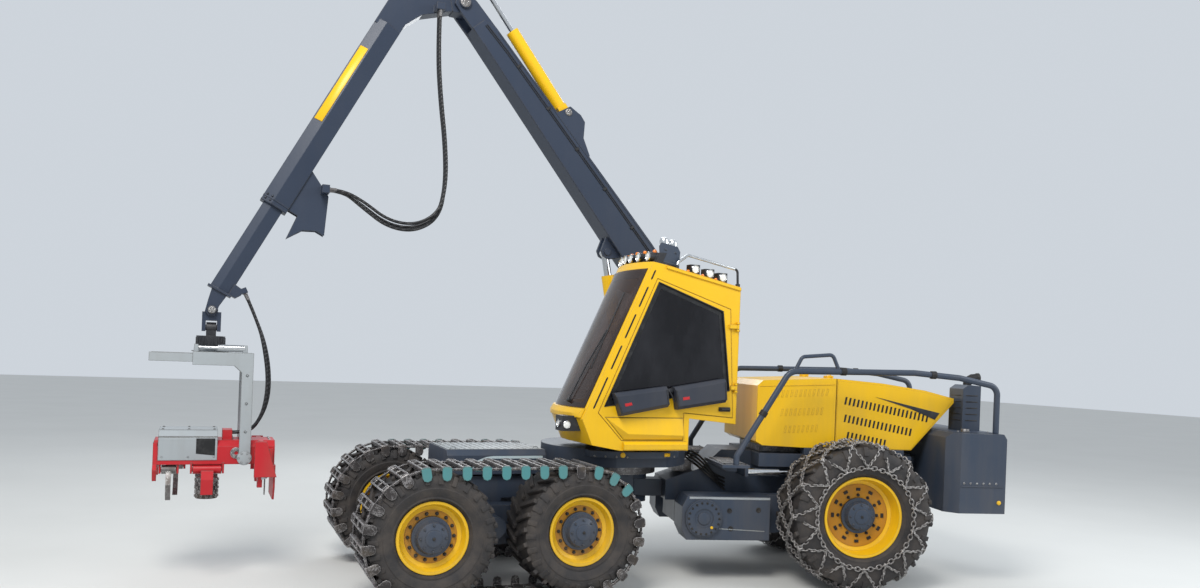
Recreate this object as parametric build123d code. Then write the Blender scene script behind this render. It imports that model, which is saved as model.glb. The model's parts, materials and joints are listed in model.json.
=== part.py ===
from build123d import *
import math
import os

# Forestry harvester: a bogie front frame with a slewing cab and crane, hinged to a rear frame with the engine.
# Lengths are in mm. X points forward, Y to the left and Z up, from the steering pivot on the ground,
# and everything moves to the middle of its own outline at the end.

# Stance
STEER_REST = 15.27          # degrees that the rear frame is turned at rest
TRACK_HALF = 1095           # middle of each wheel from the centre line
SEAT_GAP = 0.3              # between pieces that lie against each other

# Front wheels and crawler belts
BOGIE_X = 2025
BOGIE_SPACING = 1580
FRONT_TYRE_R = 655
FRONT_TYRE_W = 690
FRONT_RIM_R = 363
BOGIE_OUTER = 715           # outer face of the bogie housings
BELT_T = 52                 # height of a shoe
BELT_W = 700
SHOES = 36
SHOE_L = 96
LINK_LOW = 4                # a side link's inner and outer face above the tyre
LINK_HIGH = 26
LINK_W = 70

# Rear wheels
REAR_X = -2385
REAR_TYRE_R = 822
REAR_TYRE_W = 690
REAR_RIM_R = 457
CHAIN_T = 31.5              # how far the net stands out from the tyre
CHAIN_BAR = 24
CHAIN_CELLS = 14
LUGS = 18
LUG_H = 32
RIM_DISC = 24               # thickness of every wheel disc

# Front frame
FRAME_HALF = 400
FRAME_LOW = 930
FRAME_TOP = 1180
FRONT_BEAM_BACK = 200       # rear end of the front beam
EAR_R = 150                 # ears round the steering pin
EAR_T = 65
EAR_LOW = 800
EAR_TOP = 1150
STEER_PIN_R = 60
DECK_BACK = 1330
DECK_FRONT = 2470
DECK_HALF = 450
DECK_LOW = 1200
DECK_TOP = 1470
SLEW_X = 300
SLEW_RING_R = 520
SLEW_RING_TOP = 1300
PLATFORM_R = 880
PLATFORM_TOP = 1500
PLATFORM_TIER = 1425        # underside of the wider upper tier
TIER_R = 1020
EAR_UNDER = 1430            # underside of the ear below the crane's pillar

# Cab
CAB_NEAR = 1150
CAB_FAR = -60
CAB_REAR = -720
CAB_FLOOR = 1530
CAB_WALL = 45
CAB_SKEW = 120              # how far the front lies back on the far side
CAB_BOW = 130               # how far the windscreen bows out of its chord
GLASS_T = 12
LAMP_COUNT = 6
ROLL_BOX_T = 110

# Crane
CRANE_Y = -550
BOOM_FOOT = (-750, 3250)    # X and Z of the main boom's foot pin
BOOM_ANGLE = 48.66
BOOM_LENGTH = 4542
BOOM_W = 320
STICK_ANGLE = -61.9
STICK_OFFSET = 576          # tube's middle from the line through the knuckle
STICK_BEND = 760
STICK_END = 3254
EXT_W = 190
EXT_DEPTH = 220
EXT_INSIDE = 1350
LINK_PIN_U = 4560
LINK_PIN_N = 536
PILLAR_X = -460
PILLAR_R = 230
LIFT_BASE = (-60, 2200)     # X and Z of the lift cylinder's lower pin
LIFT_EYE_W = 130
LIFT_PIN = (1150, -350)     # along and across the boom
LIFT_BARREL = 1420
LIFT_BARREL_R = 85
LIFT_ROD_R = 48
STICK_BASE = (2816, 285)    # stick cylinder's pin along and across the boom
STICK_HORN = (4782, 400)    # horn pin at rest, along and across the boom
STICK_EYE_W = 168
STICK_BARREL = 1170
STICK_BARREL_R = 80
STICK_ROD_R = 30
ROD_EYE_W = 90

# Rear frame
REAR_FRONT = -330
REAR_FRAME_TOP = 1480
BONNET_FRONT = -1320
BONNET_SPLIT = -2300
BONNET_HALF = 680
BONNET_LOW = 1560
BONNET_WALL = 14
TANK_FRONT = -3500
TANK_BACK = -4200
TANK_HALF = 1200
TANK_LOW = 890
TANK_TOP = 1820
RAIL_Y = 1100
RAIL_R = 35

# Head
TILT_PIN = (4500, 1320)     # X and Z of the head's tilt pin
TILT_PIN_R = 40
ARM_IN = 273                # inner faces of the tilt frame's arms
HANGER_LOW = 2300
HANGER_TOP = 2440

PIN_GAP = 6                 # side clearance of an eye between its ears
BORE_GAP = 1                # radial clearance of an eye round its pin
BOOM_PIN_R = 50
CYL_PIN_R = 34
LINK_PIN_R = 30


# Shapes

def box(x0, x1, y0, y1, z0, z1):
    """A block between two corners."""
    centre = ((x0 + x1) / 2, (y0 + y1) / 2, (z0 + z1) / 2)
    return Pos(*centre) * Box(abs(x1 - x0), abs(y1 - y0), abs(z1 - z0))


def slab(points, y0, y1, radius=0):
    """A plate whose outline lies in X and Z, between two values of Y."""
    face = make_face(Polyline(*points, close=True))
    if radius:
        face = fillet(face.vertices(), radius)
    return extrude(Plane((0, y1, 0), x_dir=(1, 0, 0), z_dir=(0, -1, 0)) * face, y1 - y0)


def plan(points, z0, z1, radius=0):
    """A plate whose outline lies in X and Y, between two heights."""
    face = make_face(Polyline(*points, close=True))
    if radius:
        face = fillet(face.vertices(), radius)
    return extrude(Pos(0, 0, z0) * face, z1 - z0)


def section(points, x0, x1, radius=0):
    """A bar whose outline lies in Y and Z, between two values of X."""
    face = make_face(Polyline(*points, close=True))
    if radius:
        face = fillet(face.vertices(), radius)
    return extrude(Plane((x0, 0, 0), x_dir=(0, 1, 0), z_dir=(1, 0, 0)) * face, x1 - x0)


def rod(start, end, radius):
    """A round bar from one point to another."""
    path = Vector(*end) - Vector(*start)
    plane = Plane(start, z_dir=path.normalized())
    return plane * Cylinder(radius, path.length, align=(Align.CENTER, Align.CENTER, Align.MIN))


def turned(profile):
    """A ring about Y, turned from radius and Y points."""
    return revolve(make_face(Polyline(*profile, close=True)), Axis.Y)


def bent_tube(points, radius, bends):
    """A tube along straight runs joined by arcs."""
    path = FilletPolyline(*points, radius=bends)
    start = Plane(path @ 0, z_dir=path % 0)
    return sweep(start * Circle(radius), path)


def cord(points, radius, y):
    """A hose through X and Z points, each bend as wide as its shorter run allows."""
    bends = []
    for before, here, after in zip(points, points[1:], points[2:]):
        first = math.atan2(here[1] - before[1], here[0] - before[0])
        second = math.atan2(after[1] - here[1], after[0] - here[0])
        turn = abs((second - first + math.pi) % (2 * math.pi) - math.pi)
        run = min(math.dist(before, here), math.dist(here, after))
        bends.append(0.45 * run / math.tan(turn / 2))
    print("bend radii", [round(b) for b in bends])
    return bent_tube([(x, y, z) for x, z in points], radius, bends)


def pin(x, z, half, radius, middle=CRANE_Y):
    """A pin across the crane's plane, its ends flush with the outsides of its ears."""
    return rod((x, middle - half, z), (x, middle + half, z), radius)


def pin_heads(x, z, gap, thickness, middle=CRANE_Y):
    """The two ends of a pin, outside its ears; between them the rod's eye has room to drift."""
    outer = gap + thickness + 15
    return pin(x, z, outer, 1.3 * CYL_PIN_R, middle) - pin(x, z, gap + thickness / 2, 2 * CYL_PIN_R, middle)


def mirrored(shape):
    """The same piece on the other side of the centre line."""
    return mirror(shape, Plane.XZ)


def group(*shapes):
    """Solids that share a node without touching."""
    solids = []
    for shape in shapes:
        solids.extend(shape.solids())
    return Compound(solids) if len(solids) > 1 else solids[0]


# Frames of reference

REAR = Rot(0, 0, -STEER_REST)
BOOM = Pos(BOOM_FOOT[0], CRANE_Y, BOOM_FOOT[1]) * Rot(0, -BOOM_ANGLE, 0)


def along(origin, angle, u, n):
    """X and Z of a point given along and across a line at an angle."""
    a = math.radians(angle)
    x = origin[0] + u * math.cos(a) - n * math.sin(a)
    z = origin[1] + u * math.sin(a) + n * math.cos(a)
    return x, z


KNUCKLE = along(BOOM_FOOT, BOOM_ANGLE, BOOM_LENGTH, 0)
STICK = Pos(KNUCKLE[0], CRANE_Y, KNUCKLE[1]) * Rot(0, -STICK_ANGLE, 0)
LINK_PIN = along(KNUCKLE, STICK_ANGLE, LINK_PIN_U, LINK_PIN_N)

pieces = {}


# Front frame

def front_chassis():
    """The front beam, whose two ears hold the steering pin."""
    beam = slab(
        [(FRONT_BEAM_BACK + 60, FRAME_LOW), (2700, FRAME_LOW), (2820, 1010), (2820, 1130), (2600, FRAME_TOP),
         (FRONT_BEAM_BACK, FRAME_TOP), (FRONT_BEAM_BACK, 990)],
        -FRAME_HALF, FRAME_HALF,
    )
    knee = slab([(FRONT_BEAM_BACK, EAR_LOW), (700, EAR_LOW), (900, FRAME_LOW), (FRONT_BEAM_BACK, FRAME_LOW)], -260, 260)
    back = slab([(FRONT_BEAM_BACK, EAR_LOW), (FRONT_BEAM_BACK + 80, EAR_LOW), (FRONT_BEAM_BACK + 80, 1000), (FRONT_BEAM_BACK, 1000)], -260, 260)
    ears = (
        box(0, FRONT_BEAM_BACK + 5, -EAR_R, EAR_R, EAR_TOP - EAR_T, EAR_TOP)
        + box(0, FRONT_BEAM_BACK + 5, -EAR_R, EAR_R, EAR_LOW, EAR_LOW + EAR_T)
        + Pos(0, 0, EAR_TOP - EAR_T / 2) * Cylinder(EAR_R, EAR_T)
        + Pos(0, 0, EAR_LOW + EAR_T / 2) * Cylinder(EAR_R, EAR_T)
    )
    pin = Pos(0, 0, (EAR_LOW + EAR_TOP) / 2) * Cylinder(STEER_PIN_R, EAR_TOP - EAR_LOW + 60)
    axle_seat = box(BOGIE_X - 200, BOGIE_X + 200, -FRAME_HALF, FRAME_HALF, 560, FRAME_LOW)
    deck_post = box(DECK_BACK + 40, DECK_FRONT - 40, -300, 300, FRAME_TOP, DECK_LOW)
    return beam + knee + back + ears + pin + axle_seat + deck_post


def front_deck():
    bevel = 60
    shell = section(
        [(-DECK_HALF, DECK_LOW), (DECK_HALF, DECK_LOW), (DECK_HALF, DECK_TOP - bevel),
         (DECK_HALF - bevel, DECK_TOP), (bevel - DECK_HALF, DECK_TOP), (-DECK_HALF, DECK_TOP - bevel)],
        DECK_BACK, DECK_FRONT,
    )
    return shell


def slew_ring():
    height = SLEW_RING_TOP - FRAME_TOP
    ring = Cylinder(SLEW_RING_R, height) - Cylinder(SLEW_RING_R - 140, height)
    return Pos(SLEW_X, 0, FRAME_TOP + height / 2) * ring


FRONT_AXLE_Z = FRONT_TYRE_R + SEAT_GAP + BELT_T
FRONT_WHEELS = (BOGIE_X + BOGIE_SPACING / 2, BOGIE_X - BOGIE_SPACING / 2)


def tyre(radius, width, rim):
    """A wide flotation tyre about Y."""
    half = width / 2
    shoulder = radius - 50
    return turned([
        (rim, -half + 60), (rim + 40, -half + 10), (shoulder - 40, -half), (shoulder, -half + 10),
        (radius, -half + 70), (radius, half - 70), (shoulder, half - 10), (shoulder - 40, half),
        (rim + 40, half - 10), (rim, half - 60),
    ])


def rim(radius, width, dish):
    """A deep rim about Y whose disc lies back from its outer edge."""
    half = width / 2 - 60
    disc = half - dish
    edge = radius - SEAT_GAP
    return turned([
        (edge, -half), (edge, half), (edge - 30, half), (edge - 55, disc + 40), (edge - 90, disc + RIM_DISC),
        (121, disc + RIM_DISC), (121, disc), (edge - 90, disc), (edge - 45, disc - 20), (edge - 30, -half),
    ])


def hub(seat, back):
    """A wheel hub about Y whose flange stands on the disc, with a stepped nose."""
    return turned([
        (0, back), (120, back), (120, seat), (200, seat), (200, seat + 40), (170, seat + 40),
        (150, seat + 110), (90, seat + 135), (0, seat + 135),
    ])


def front_wheel_set():
    tyres = []
    rims = []
    hubs = []
    dish = 120
    disc_face = FRONT_TYRE_W / 2 - 60 - dish
    back = BOGIE_OUTER + SEAT_GAP - TRACK_HALF
    for x in FRONT_WHEELS:
        for side in (1, -1):
            place = Pos(x, side * TRACK_HALF, FRONT_AXLE_Z) * Rot(0, 0, 0 if side > 0 else 180)
            tyres.append(place * tyre(FRONT_TYRE_R, FRONT_TYRE_W, FRONT_RIM_R))
            rims.append(place * rim(FRONT_RIM_R, FRONT_TYRE_W, dish))
            hubs.append(place * hub(disc_face + RIM_DISC + SEAT_GAP, back))
    return group(*tyres), group(*rims), group(*hubs)


def on_loop(share):
    """A place on the inside of a belt's loop, its local Z outwards and X along the run."""
    inner = FRONT_TYRE_R + SEAT_GAP
    arc = math.pi * inner
    way = share % 1 * 2 * (BOGIE_SPACING + arc)
    half = BOGIE_SPACING / 2
    if way < BOGIE_SPACING:
        return Pos(half - way, 0, 0) * Pos(0, 0, inner)
    if way < BOGIE_SPACING + arc:
        return Pos(-half, 0, 0) * Rot(0, -math.degrees((way - BOGIE_SPACING) / inner), 0) * Pos(0, 0, inner)
    if way < 2 * BOGIE_SPACING + arc:
        return Pos(way - BOGIE_SPACING - arc - half, 0, 0) * Rot(0, 180, 0) * Pos(0, 0, inner)
    return Pos(half, 0, 0) * Rot(0, 180 - math.degrees((way - 2 * BOGIE_SPACING - arc) / inner), 0) * Pos(0, 0, inner)


def belt(side):
    """A crawler belt round both wheels of one side: shoes with guard plates beside the tyre, and side links."""
    pitch = 2 * (BOGIE_SPACING + math.pi * (FRONT_TYRE_R + SEAT_GAP)) / SHOES
    link = (pitch - SHOE_L) / 2 + 20
    edge = BELT_W / 2
    solids = []
    for i in range(SHOES):
        shoe = box(-SHOE_L / 2, SHOE_L / 2, -edge, edge, 0, BELT_T)
        for y in (-1, 1):
            shoe += section([(y * edge, 0), (y * edge, 30), (y * (edge + 14), 20), (y * (edge + 14), -90), (y * (edge + 4), -90)],
                            -40, 40)
        solids.append(on_loop((i + 0.5) / SHOES) * shoe)
        for y in (-edge, edge - LINK_W):
            solids.append(on_loop((i + 1) / SHOES) * box(-link, link, y, y + LINK_W, LINK_LOW, LINK_HIGH))
    loop = solids[0].fuse(*solids[1:])
    return Pos(BOGIE_X, side * TRACK_HALF, FRONT_AXLE_Z) * loop


def bogie():
    """The two gear housings that carry the wheels and the tube between them."""
    reach = BOGIE_SPACING / 2
    inner = 470
    outer = BOGIE_OUTER
    sides = []
    for side in (1, -1):
        y0, y1 = sorted((side * inner, side * outer))
        case = slab(
            [(BOGIE_X - reach - 190, 620), (BOGIE_X - reach - 120, 520), (BOGIE_X, 470), (BOGIE_X + reach + 120, 520),
             (BOGIE_X + reach + 190, 620), (BOGIE_X + reach + 190, 790), (BOGIE_X + reach + 100, 880),
             (BOGIE_X, 905), (BOGIE_X - reach - 100, 880), (BOGIE_X - reach - 190, 790)],
            y0, y1,
        )
        nave = rod((BOGIE_X, side * (outer - 5), 690), (BOGIE_X, side * 900, 690), 115)
        stub = rod((BOGIE_X, side * (FRAME_HALF + SEAT_GAP), 690), (BOGIE_X, side * inner, 690), 130)
        sides.append(case + nave + stub)
    return group(*sides)


pieces["front_chassis"] = front_chassis()
pieces["front_deck"] = front_deck()
pieces["slew_ring"] = slew_ring()
pieces["front_tyres"], pieces["front_rims"], pieces["front_hubs"] = front_wheel_set()
pieces["belt_left"] = belt(1)
pieces["belt_right"] = belt(-1)
pieces["bogie_housings"] = bogie()

# Slewing platform, cab and crane pillar

def platform():
    """The slewing plate: a disc on the ring, a wider upper tier, an ear for the crane and the cab's feet."""
    low = SLEW_RING_TOP + SEAT_GAP
    disc = Pos(SLEW_X, 0, (low + PLATFORM_TOP) / 2) * Cylinder(PLATFORM_R, PLATFORM_TOP - low)
    disc &= box(-700, 1300, -820, 820, 1200, 1600)
    tier = Pos(SLEW_X, 0, (PLATFORM_TIER + PLATFORM_TOP) / 2) * Cylinder(TIER_R, PLATFORM_TOP - PLATFORM_TIER)
    tier &= box(-110, 930, -300, 1010, 1200, 1600)
    ear = Pos(PILLAR_X, CRANE_Y, (EAR_UNDER + PLATFORM_TOP) / 2) * Cylinder(190, PLATFORM_TOP - EAR_UNDER)
    ear += plan([(PILLAR_X - 100, CRANE_Y + 160), (PILLAR_X + 100, CRANE_Y - 160), (100, -780), (-500, 200)], EAR_UNDER, PLATFORM_TOP)
    body = disc + tier + ear
    for x, y in ((20, 60), (620, 60), (20, 640), (620, 640)):
        body += Pos(x, y, (PLATFORM_TOP + CAB_FLOOR - SEAT_GAP) / 2) * Cylinder(60, CAB_FLOOR - SEAT_GAP - PLATFORM_TOP)
    return body


CAB_SIDE = [  # X and Z of the cab's side outline, its front edge first
    (1080, 1620), (1190, 1870), (405, 3630), (268, 3600), (CAB_REAR, 3410), (CAB_REAR, 1830),
    (-110, 1890), (-110, CAB_FLOOR), (730, CAB_FLOOR),
]
WINDOW = [(940, 2010), (330, 3400), (-500, 3120), (-620, 2215)]     # side window's corners
DOOR = [(1010, 1940), (355, 3440), (-600, 3150), (-680, 1900), (-40, 1950), (-40, 1640), (720, 1640)]
DOOR_GAP = 6
HINGE = (-690, CAB_NEAR + 24)           # X and Y of the door's hinge line
DOOR_HINGES = (2250, 2950)


def front_curve(forward, near, far):
    """Plan outline at the foot of the windscreen: a bowed front edge and straight sides running back."""
    foot = CAB_SIDE[1][0] + forward
    across = (CAB_NEAR - (near + far) / 2) / (CAB_NEAR - CAB_FAR)
    left = (foot - CAB_SKEW * (CAB_NEAR - near) / (CAB_NEAR - CAB_FAR), near)
    right = (foot - CAB_SKEW * (CAB_NEAR - far) / (CAB_NEAR - CAB_FAR), far)
    middle = (foot - CAB_SKEW * across + CAB_BOW, (near + far) / 2)
    return left, middle, right


def front_prism(forward, near, far):
    """Everything behind the cab's bowed front, above and below the foot of the windscreen."""
    left, middle, right = front_curve(forward, near, far)
    edge = ThreePointArc(left, middle, right)
    rest = Polyline(right, (-2000, far), (-2000, near), left)
    face = Pos(0, 0, CAB_SIDE[1][1]) * make_face(edge + rest)
    lean = Vector(CAB_SIDE[2][0] - CAB_SIDE[1][0], 0, CAB_SIDE[2][1] - CAB_SIDE[1][1])
    chin = Vector(CAB_SIDE[0][0] - CAB_SIDE[1][0], 0, CAB_SIDE[0][1] - CAB_SIDE[1][1])
    upper = extrude(face, 1.1 * lean.length, dir=lean.normalized())
    lower = extrude(face, 1.6 * chin.length, dir=chin.normalized())
    return upper + lower


def cab_block(wall):
    """The cab's outside, or with a wall its hollow."""
    shift = CAB_BOW + 20
    side = [(x + shift if i < 3 else x, z) for i, (x, z) in enumerate(CAB_SIDE)]
    side[2] = (side[2][0], CAB_SIDE[2][1] + 12)
    face = make_face(Polyline(*side, close=True))
    if wall:
        face = offset(face, -wall)
    near = CAB_NEAR - wall
    body = extrude(Plane((0, near, 0), x_dir=(1, 0, 0), z_dir=(0, -1, 0)) * face, near - CAB_FAR - wall)
    return body & front_prism(-wall, near, CAB_FAR + wall)


def hinge_knuckles(x, y, heights, inner, radius=16):
    """Knuckles on one upright hinge line: the middle ones with a bore, or the outer ones with their pin."""
    shapes = []
    for z in heights:
        if inner:
            shapes.append(Pos(x, y, z) * (Cylinder(radius, 50) - Cylinder(radius / 2 + 0.5, 60)))
        else:
            post = Pos(x, y, z) * Cylinder(radius / 2, 100)
            post += Pos(x, y, z + 42) * Cylinder(radius, 24) + Pos(x, y, z - 42) * Cylinder(radius, 24)
            shapes.append(post)
    return shapes


def cab_shell():
    shell = cab_block(0) - cab_block(CAB_WALL)
    shell -= slab(DOOR, CAB_NEAR - CAB_WALL - 20, CAB_NEAR + 20)
    shell -= slab(WINDOW, CAB_FAR - 20, CAB_FAR + CAB_WALL + 20)
    front_y = (CAB_FAR + 90, CAB_NEAR - 90)
    shell -= slab([(1500, 2030), (940, 2030), (290, 3500), (600, 3500)], *front_y)
    shell -= box(CAB_REAR - 40, CAB_REAR + 80, CAB_FAR + 160, CAB_NEAR - 160, 2350, 3180)
    x, y = HINGE
    for z, post in zip(DOOR_HINGES, hinge_knuckles(x, y, DOOR_HINGES, False)):
        shell += post
        for lift in (42, -42):
            shell += box(x - 25, x, CAB_NEAR - 5, y, z + lift - 12, z + lift + 12)
    return shell


def cab_door():
    panel = offset(make_face(Polyline(*DOOR, close=True)), -DOOR_GAP)
    window = make_face(Polyline(*WINDOW, close=True))
    plane = Plane((0, CAB_NEAR, 0), x_dir=(1, 0, 0), z_dir=(0, -1, 0))
    door = extrude(plane * (panel - window), CAB_WALL)
    x, y = HINGE
    (x_top, z_top), (x_low, z_low) = DOOR[2:4]
    for z, knuckle in zip(DOOR_HINGES, hinge_knuckles(x, y, DOOR_HINGES, True)):
        edge = x_low + (x_top - x_low) * (z - z_low) / (z_top - z_low)
        door += knuckle + box(x + 12, edge + 34, y - 14, y + 6, z - 22, z + 22)
        door += box(edge + 10, edge + 34, CAB_NEAR - 10, y, z - 22, z + 22)
    return door


def door_glass():
    face = offset(make_face(Polyline(*WINDOW, close=True)), -SEAT_GAP)
    plane = Plane((0, CAB_NEAR - 14, 0), x_dir=(1, 0, 0), z_dir=(0, -1, 0))
    return extrude(plane * face, GLASS_T)


def door_boxes():
    """Two roll boxes on the outside of the door, along the window's lower edge."""
    table = [  # corners in X and Z: front low, front high, back high, back low
        [(775, 1912), (858, 2160), (230, 2249), (201, 2020)],
        [(85, 1991), (135, 2242), (-510, 2353), (-531, 2083)],
    ]
    y0 = CAB_NEAR + SEAT_GAP
    boxes = []
    for corners in table:
        body = slab(corners, y0, y0 + ROLL_BOX_T)
        edges = body.faces().sort_by(Axis.Y)[-1].edges().sort_by(Axis.Z)
        boxes.append(chamfer([edges[0], edges[-1]], 0.35 * ROLL_BOX_T))
    return group(*boxes)


def cab_glass():
    """The bowed windscreen, the far side window and the rear window."""
    screen = front_prism(SEAT_GAP + GLASS_T, CAB_NEAR, CAB_FAR) - front_prism(SEAT_GAP, CAB_NEAR, CAB_FAR)
    screen &= box(0, 2000, CAB_FAR + 40, CAB_NEAR - 40, 1990, 3545)
    side = offset(make_face(Polyline(*WINDOW, close=True)), -SEAT_GAP)
    plane = Plane((0, CAB_FAR + 14 + GLASS_T, 0), x_dir=(1, 0, 0), z_dir=(0, -1, 0))
    gap = SEAT_GAP
    back = box(CAB_REAR + 14, CAB_REAR + 14 + GLASS_T, CAB_FAR + 160 + gap, CAB_NEAR - 160 - gap, 2350 + gap, 3180 - gap)
    return group(screen, extrude(plane * side, GLASS_T), back)


def roof_line(x):
    """Height of the cab's roof above a point."""
    x0, z0 = CAB_SIDE[3]
    x1, z1 = CAB_SIDE[4]
    return z0 + (z1 - z0) * (x - x0) / (x1 - x0)


def roof_block(x0, x1, y0, y1, top):
    """A block that stands on the sloping roof."""
    return slab([(x0, roof_line(x0) + SEAT_GAP), (x0, top), (x1, top), (x1, roof_line(x1) + SEAT_GAP)], y0, y1)


def lamp_bar():
    """The bar of work lamps that follows the roof's bowed front edge."""
    x, z = CAB_SIDE[3]
    lip = (CAB_SIDE[2][1] + 12 - z) / (CAB_SIDE[2][0] + CAB_BOW + 20 - x)
    gap = SEAT_GAP
    top = 3735
    outline = [(100, roof_line(100) + gap), (x, z + gap), (700, z + lip * (700 - x) + gap), (700, top), (100, top)]
    bar = front_prism(-50, CAB_NEAR - 60, CAB_FAR + 60) - front_prism(-130, CAB_NEAR - 60, CAB_FAR + 60)
    bar &= slab(outline, CAB_FAR + 60, CAB_NEAR - 60)
    lean = (CAB_SIDE[2][0] - CAB_SIDE[1][0]) / (CAB_SIDE[2][1] - CAB_SIDE[1][1])
    for i in range(LAMP_COUNT):
        y = CAB_FAR + 140 + (CAB_NEAR - CAB_FAR - 280) * i / (LAMP_COUNT - 1)
        share = (CAB_NEAR - y) / (CAB_NEAR - CAB_FAR)
        front = CAB_SIDE[1][0] - 50 - CAB_SKEW * share + 4 * CAB_BOW * share * (1 - share) + lean * (3690 - CAB_SIDE[1][1])
        bar += rod((front - 60, y, 3690), (front + 45, y, 3690), 52)
    return bar


def lamps():
    """Roof lamps, two beacons, the guard tubes over the long edges and the lamp at the chin."""
    shapes = []
    for x in (-142, -331, -504):
        top = roof_line(x) + 110
        shapes.append(roof_block(x - 60, x + 60, CAB_NEAR - 150, CAB_NEAR - 50, top))
        shapes.append(roof_block(x - 60, x + 60, CAB_FAR + 50, CAB_FAR + 150, top))
    shapes.append(lamp_bar())
    chin = box(1100, 1380, 850, 1050, 1735, 1900)
    shapes.append(chin - front_prism(SEAT_GAP, CAB_NEAR, CAB_FAR))
    for y in (290, 810):
        base = roof_line(20) + 10
        stand = roof_block(-30, 70, y - 50, y + 50, base + 30)
        shapes.append(stand + Pos(20, y, base + 95) * Cylinder(55, 140))
    for y in (CAB_NEAR - 22, CAB_FAR + 22):
        route = [(110, y, 3580), (95, y, 3640), (-27, y, 3727), (-680, y, 3609), (-690, y, roof_line(-690) + 15)]
        tube = bent_tube(route, 14, [20, 60, 45])
        tube += roof_block(90, 130, y - 18, y + 18, 3600)
        shapes.append(tube + roof_block(-710, -670, y - 18, y + 18, roof_line(-690) + 30))
    return group(*shapes)


def pillar():
    """The crane's pillar with two cheeks at the boom's foot and a lug for the lift cylinder."""
    x, z = BOOM_FOOT
    top = 2520
    column = Pos(PILLAR_X, CRANE_Y, (PLATFORM_TOP + top) / 2) * Cylinder(PILLAR_R, top - PLATFORM_TOP)
    foot = Pos(PILLAR_X, CRANE_Y, PLATFORM_TOP + 60) * Cylinder(PILLAR_R + 70, 120)
    gap = BOOM_W / 2 + PIN_GAP
    front = PILLAR_X + 200
    cheek = [
        (front, 2400), (front, 2800), (x + 130, z + 60), (x + 60, z + 130), (x - 60, z + 130),
        (x - 130, z), (PILLAR_X - 240, 2400),
    ]
    cheeks = slab(cheek, CRANE_Y + gap, CRANE_Y + gap + 45) + slab(cheek, CRANE_Y - gap - 45, CRANE_Y - gap)
    head = box(PILLAR_X - 240, front, CRANE_Y - gap - 45, CRANE_Y + gap + 45, 2400, 2560)
    bosses = rod((x, CRANE_Y + gap + 45, z), (x, CRANE_Y + gap + 75, z), 75)
    bosses += rod((x, CRANE_Y - gap - 45, z), (x, CRANE_Y - gap - 75, z), 75)
    bx, bz = LIFT_BASE
    lug = [(PILLAR_X, bz - 190), (bx - 40, bz - 70), (bx + 60, bz - 50), (bx + 60, bz + 50), (bx - 40, bz + 70), (PILLAR_X, bz + 120)]
    inner = LIFT_EYE_W / 2 + PIN_GAP
    lugs = slab(lug, CRANE_Y + inner, CRANE_Y + inner + 35) + slab(lug, CRANE_Y - inner - 35, CRANE_Y - inner)
    pins = pin(x, z, gap + 60, BOOM_PIN_R) + pin(bx, bz, inner + 30, CYL_PIN_R)
    return column + foot + head + cheeks + bosses + lugs + pins


def seat():
    pad = box(-260, 260, 330, 830, 1980, 2090)
    back = slab([(-330, 2080), (-200, 2080), (-300, 2860), (-400, 2860)], 350, 810)
    stand = box(-20, 180, 480, 680, CAB_FLOOR + CAB_WALL + SEAT_GAP, 1980)
    return pad + back + stand


pieces["platform"] = platform()
pieces["cab_shell"] = cab_shell()
pieces["cab_door"] = cab_door()
pieces["door_glass"] = door_glass()
pieces["door_boxes"] = door_boxes()
pieces["cab_glass"] = cab_glass()
pieces["lamps"] = lamps()
pieces["crane_pillar"] = pillar()
pieces["seat"] = seat()

# Crane

def hydraulic(base, tip, barrel_len, barrel_r, rod_r, base_w, tip_w, buried):
    """A hydraulic cylinder between two pins: the barrel with its eye, and the rod with its eye."""
    start = Vector(*base)
    end = Vector(*tip)
    d = (end - start).normalized()
    side = Vector(0, 1, 0)
    low = (Align.CENTER, Align.CENTER, Align.MIN)
    barrel = rod(start + d * (barrel_r + 30), start + d * barrel_len, barrel_r)
    barrel += Plane(start, z_dir=d, x_dir=side) * Box(base_w, 1.6 * barrel_r, barrel_r + 40, align=low)
    barrel += rod(start - side * (base_w / 2), start + side * (base_w / 2), 0.9 * barrel_r)
    barrel -= rod(start + d * (barrel_r + 60), start + d * (barrel_len - 80), barrel_r - 14)
    barrel -= rod(start + d * (barrel_len - 90), start + d * (barrel_len + 10), rod_r + 0.5)
    barrel -= pin(start.X, start.Z, base_w, CYL_PIN_R + BORE_GAP)
    bar = rod(start + d * (barrel_len - buried), end - d * 50, rod_r)
    bar += rod(end - side * (tip_w / 2), end + side * (tip_w / 2), CYL_PIN_R + 28)
    bar -= pin(end.X, end.Z, tip_w, CYL_PIN_R + BORE_GAP)
    return barrel, bar


def boom_world(u, n):
    x, z = along(BOOM_FOOT, BOOM_ANGLE, u, n)
    return x, CRANE_Y, z


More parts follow.
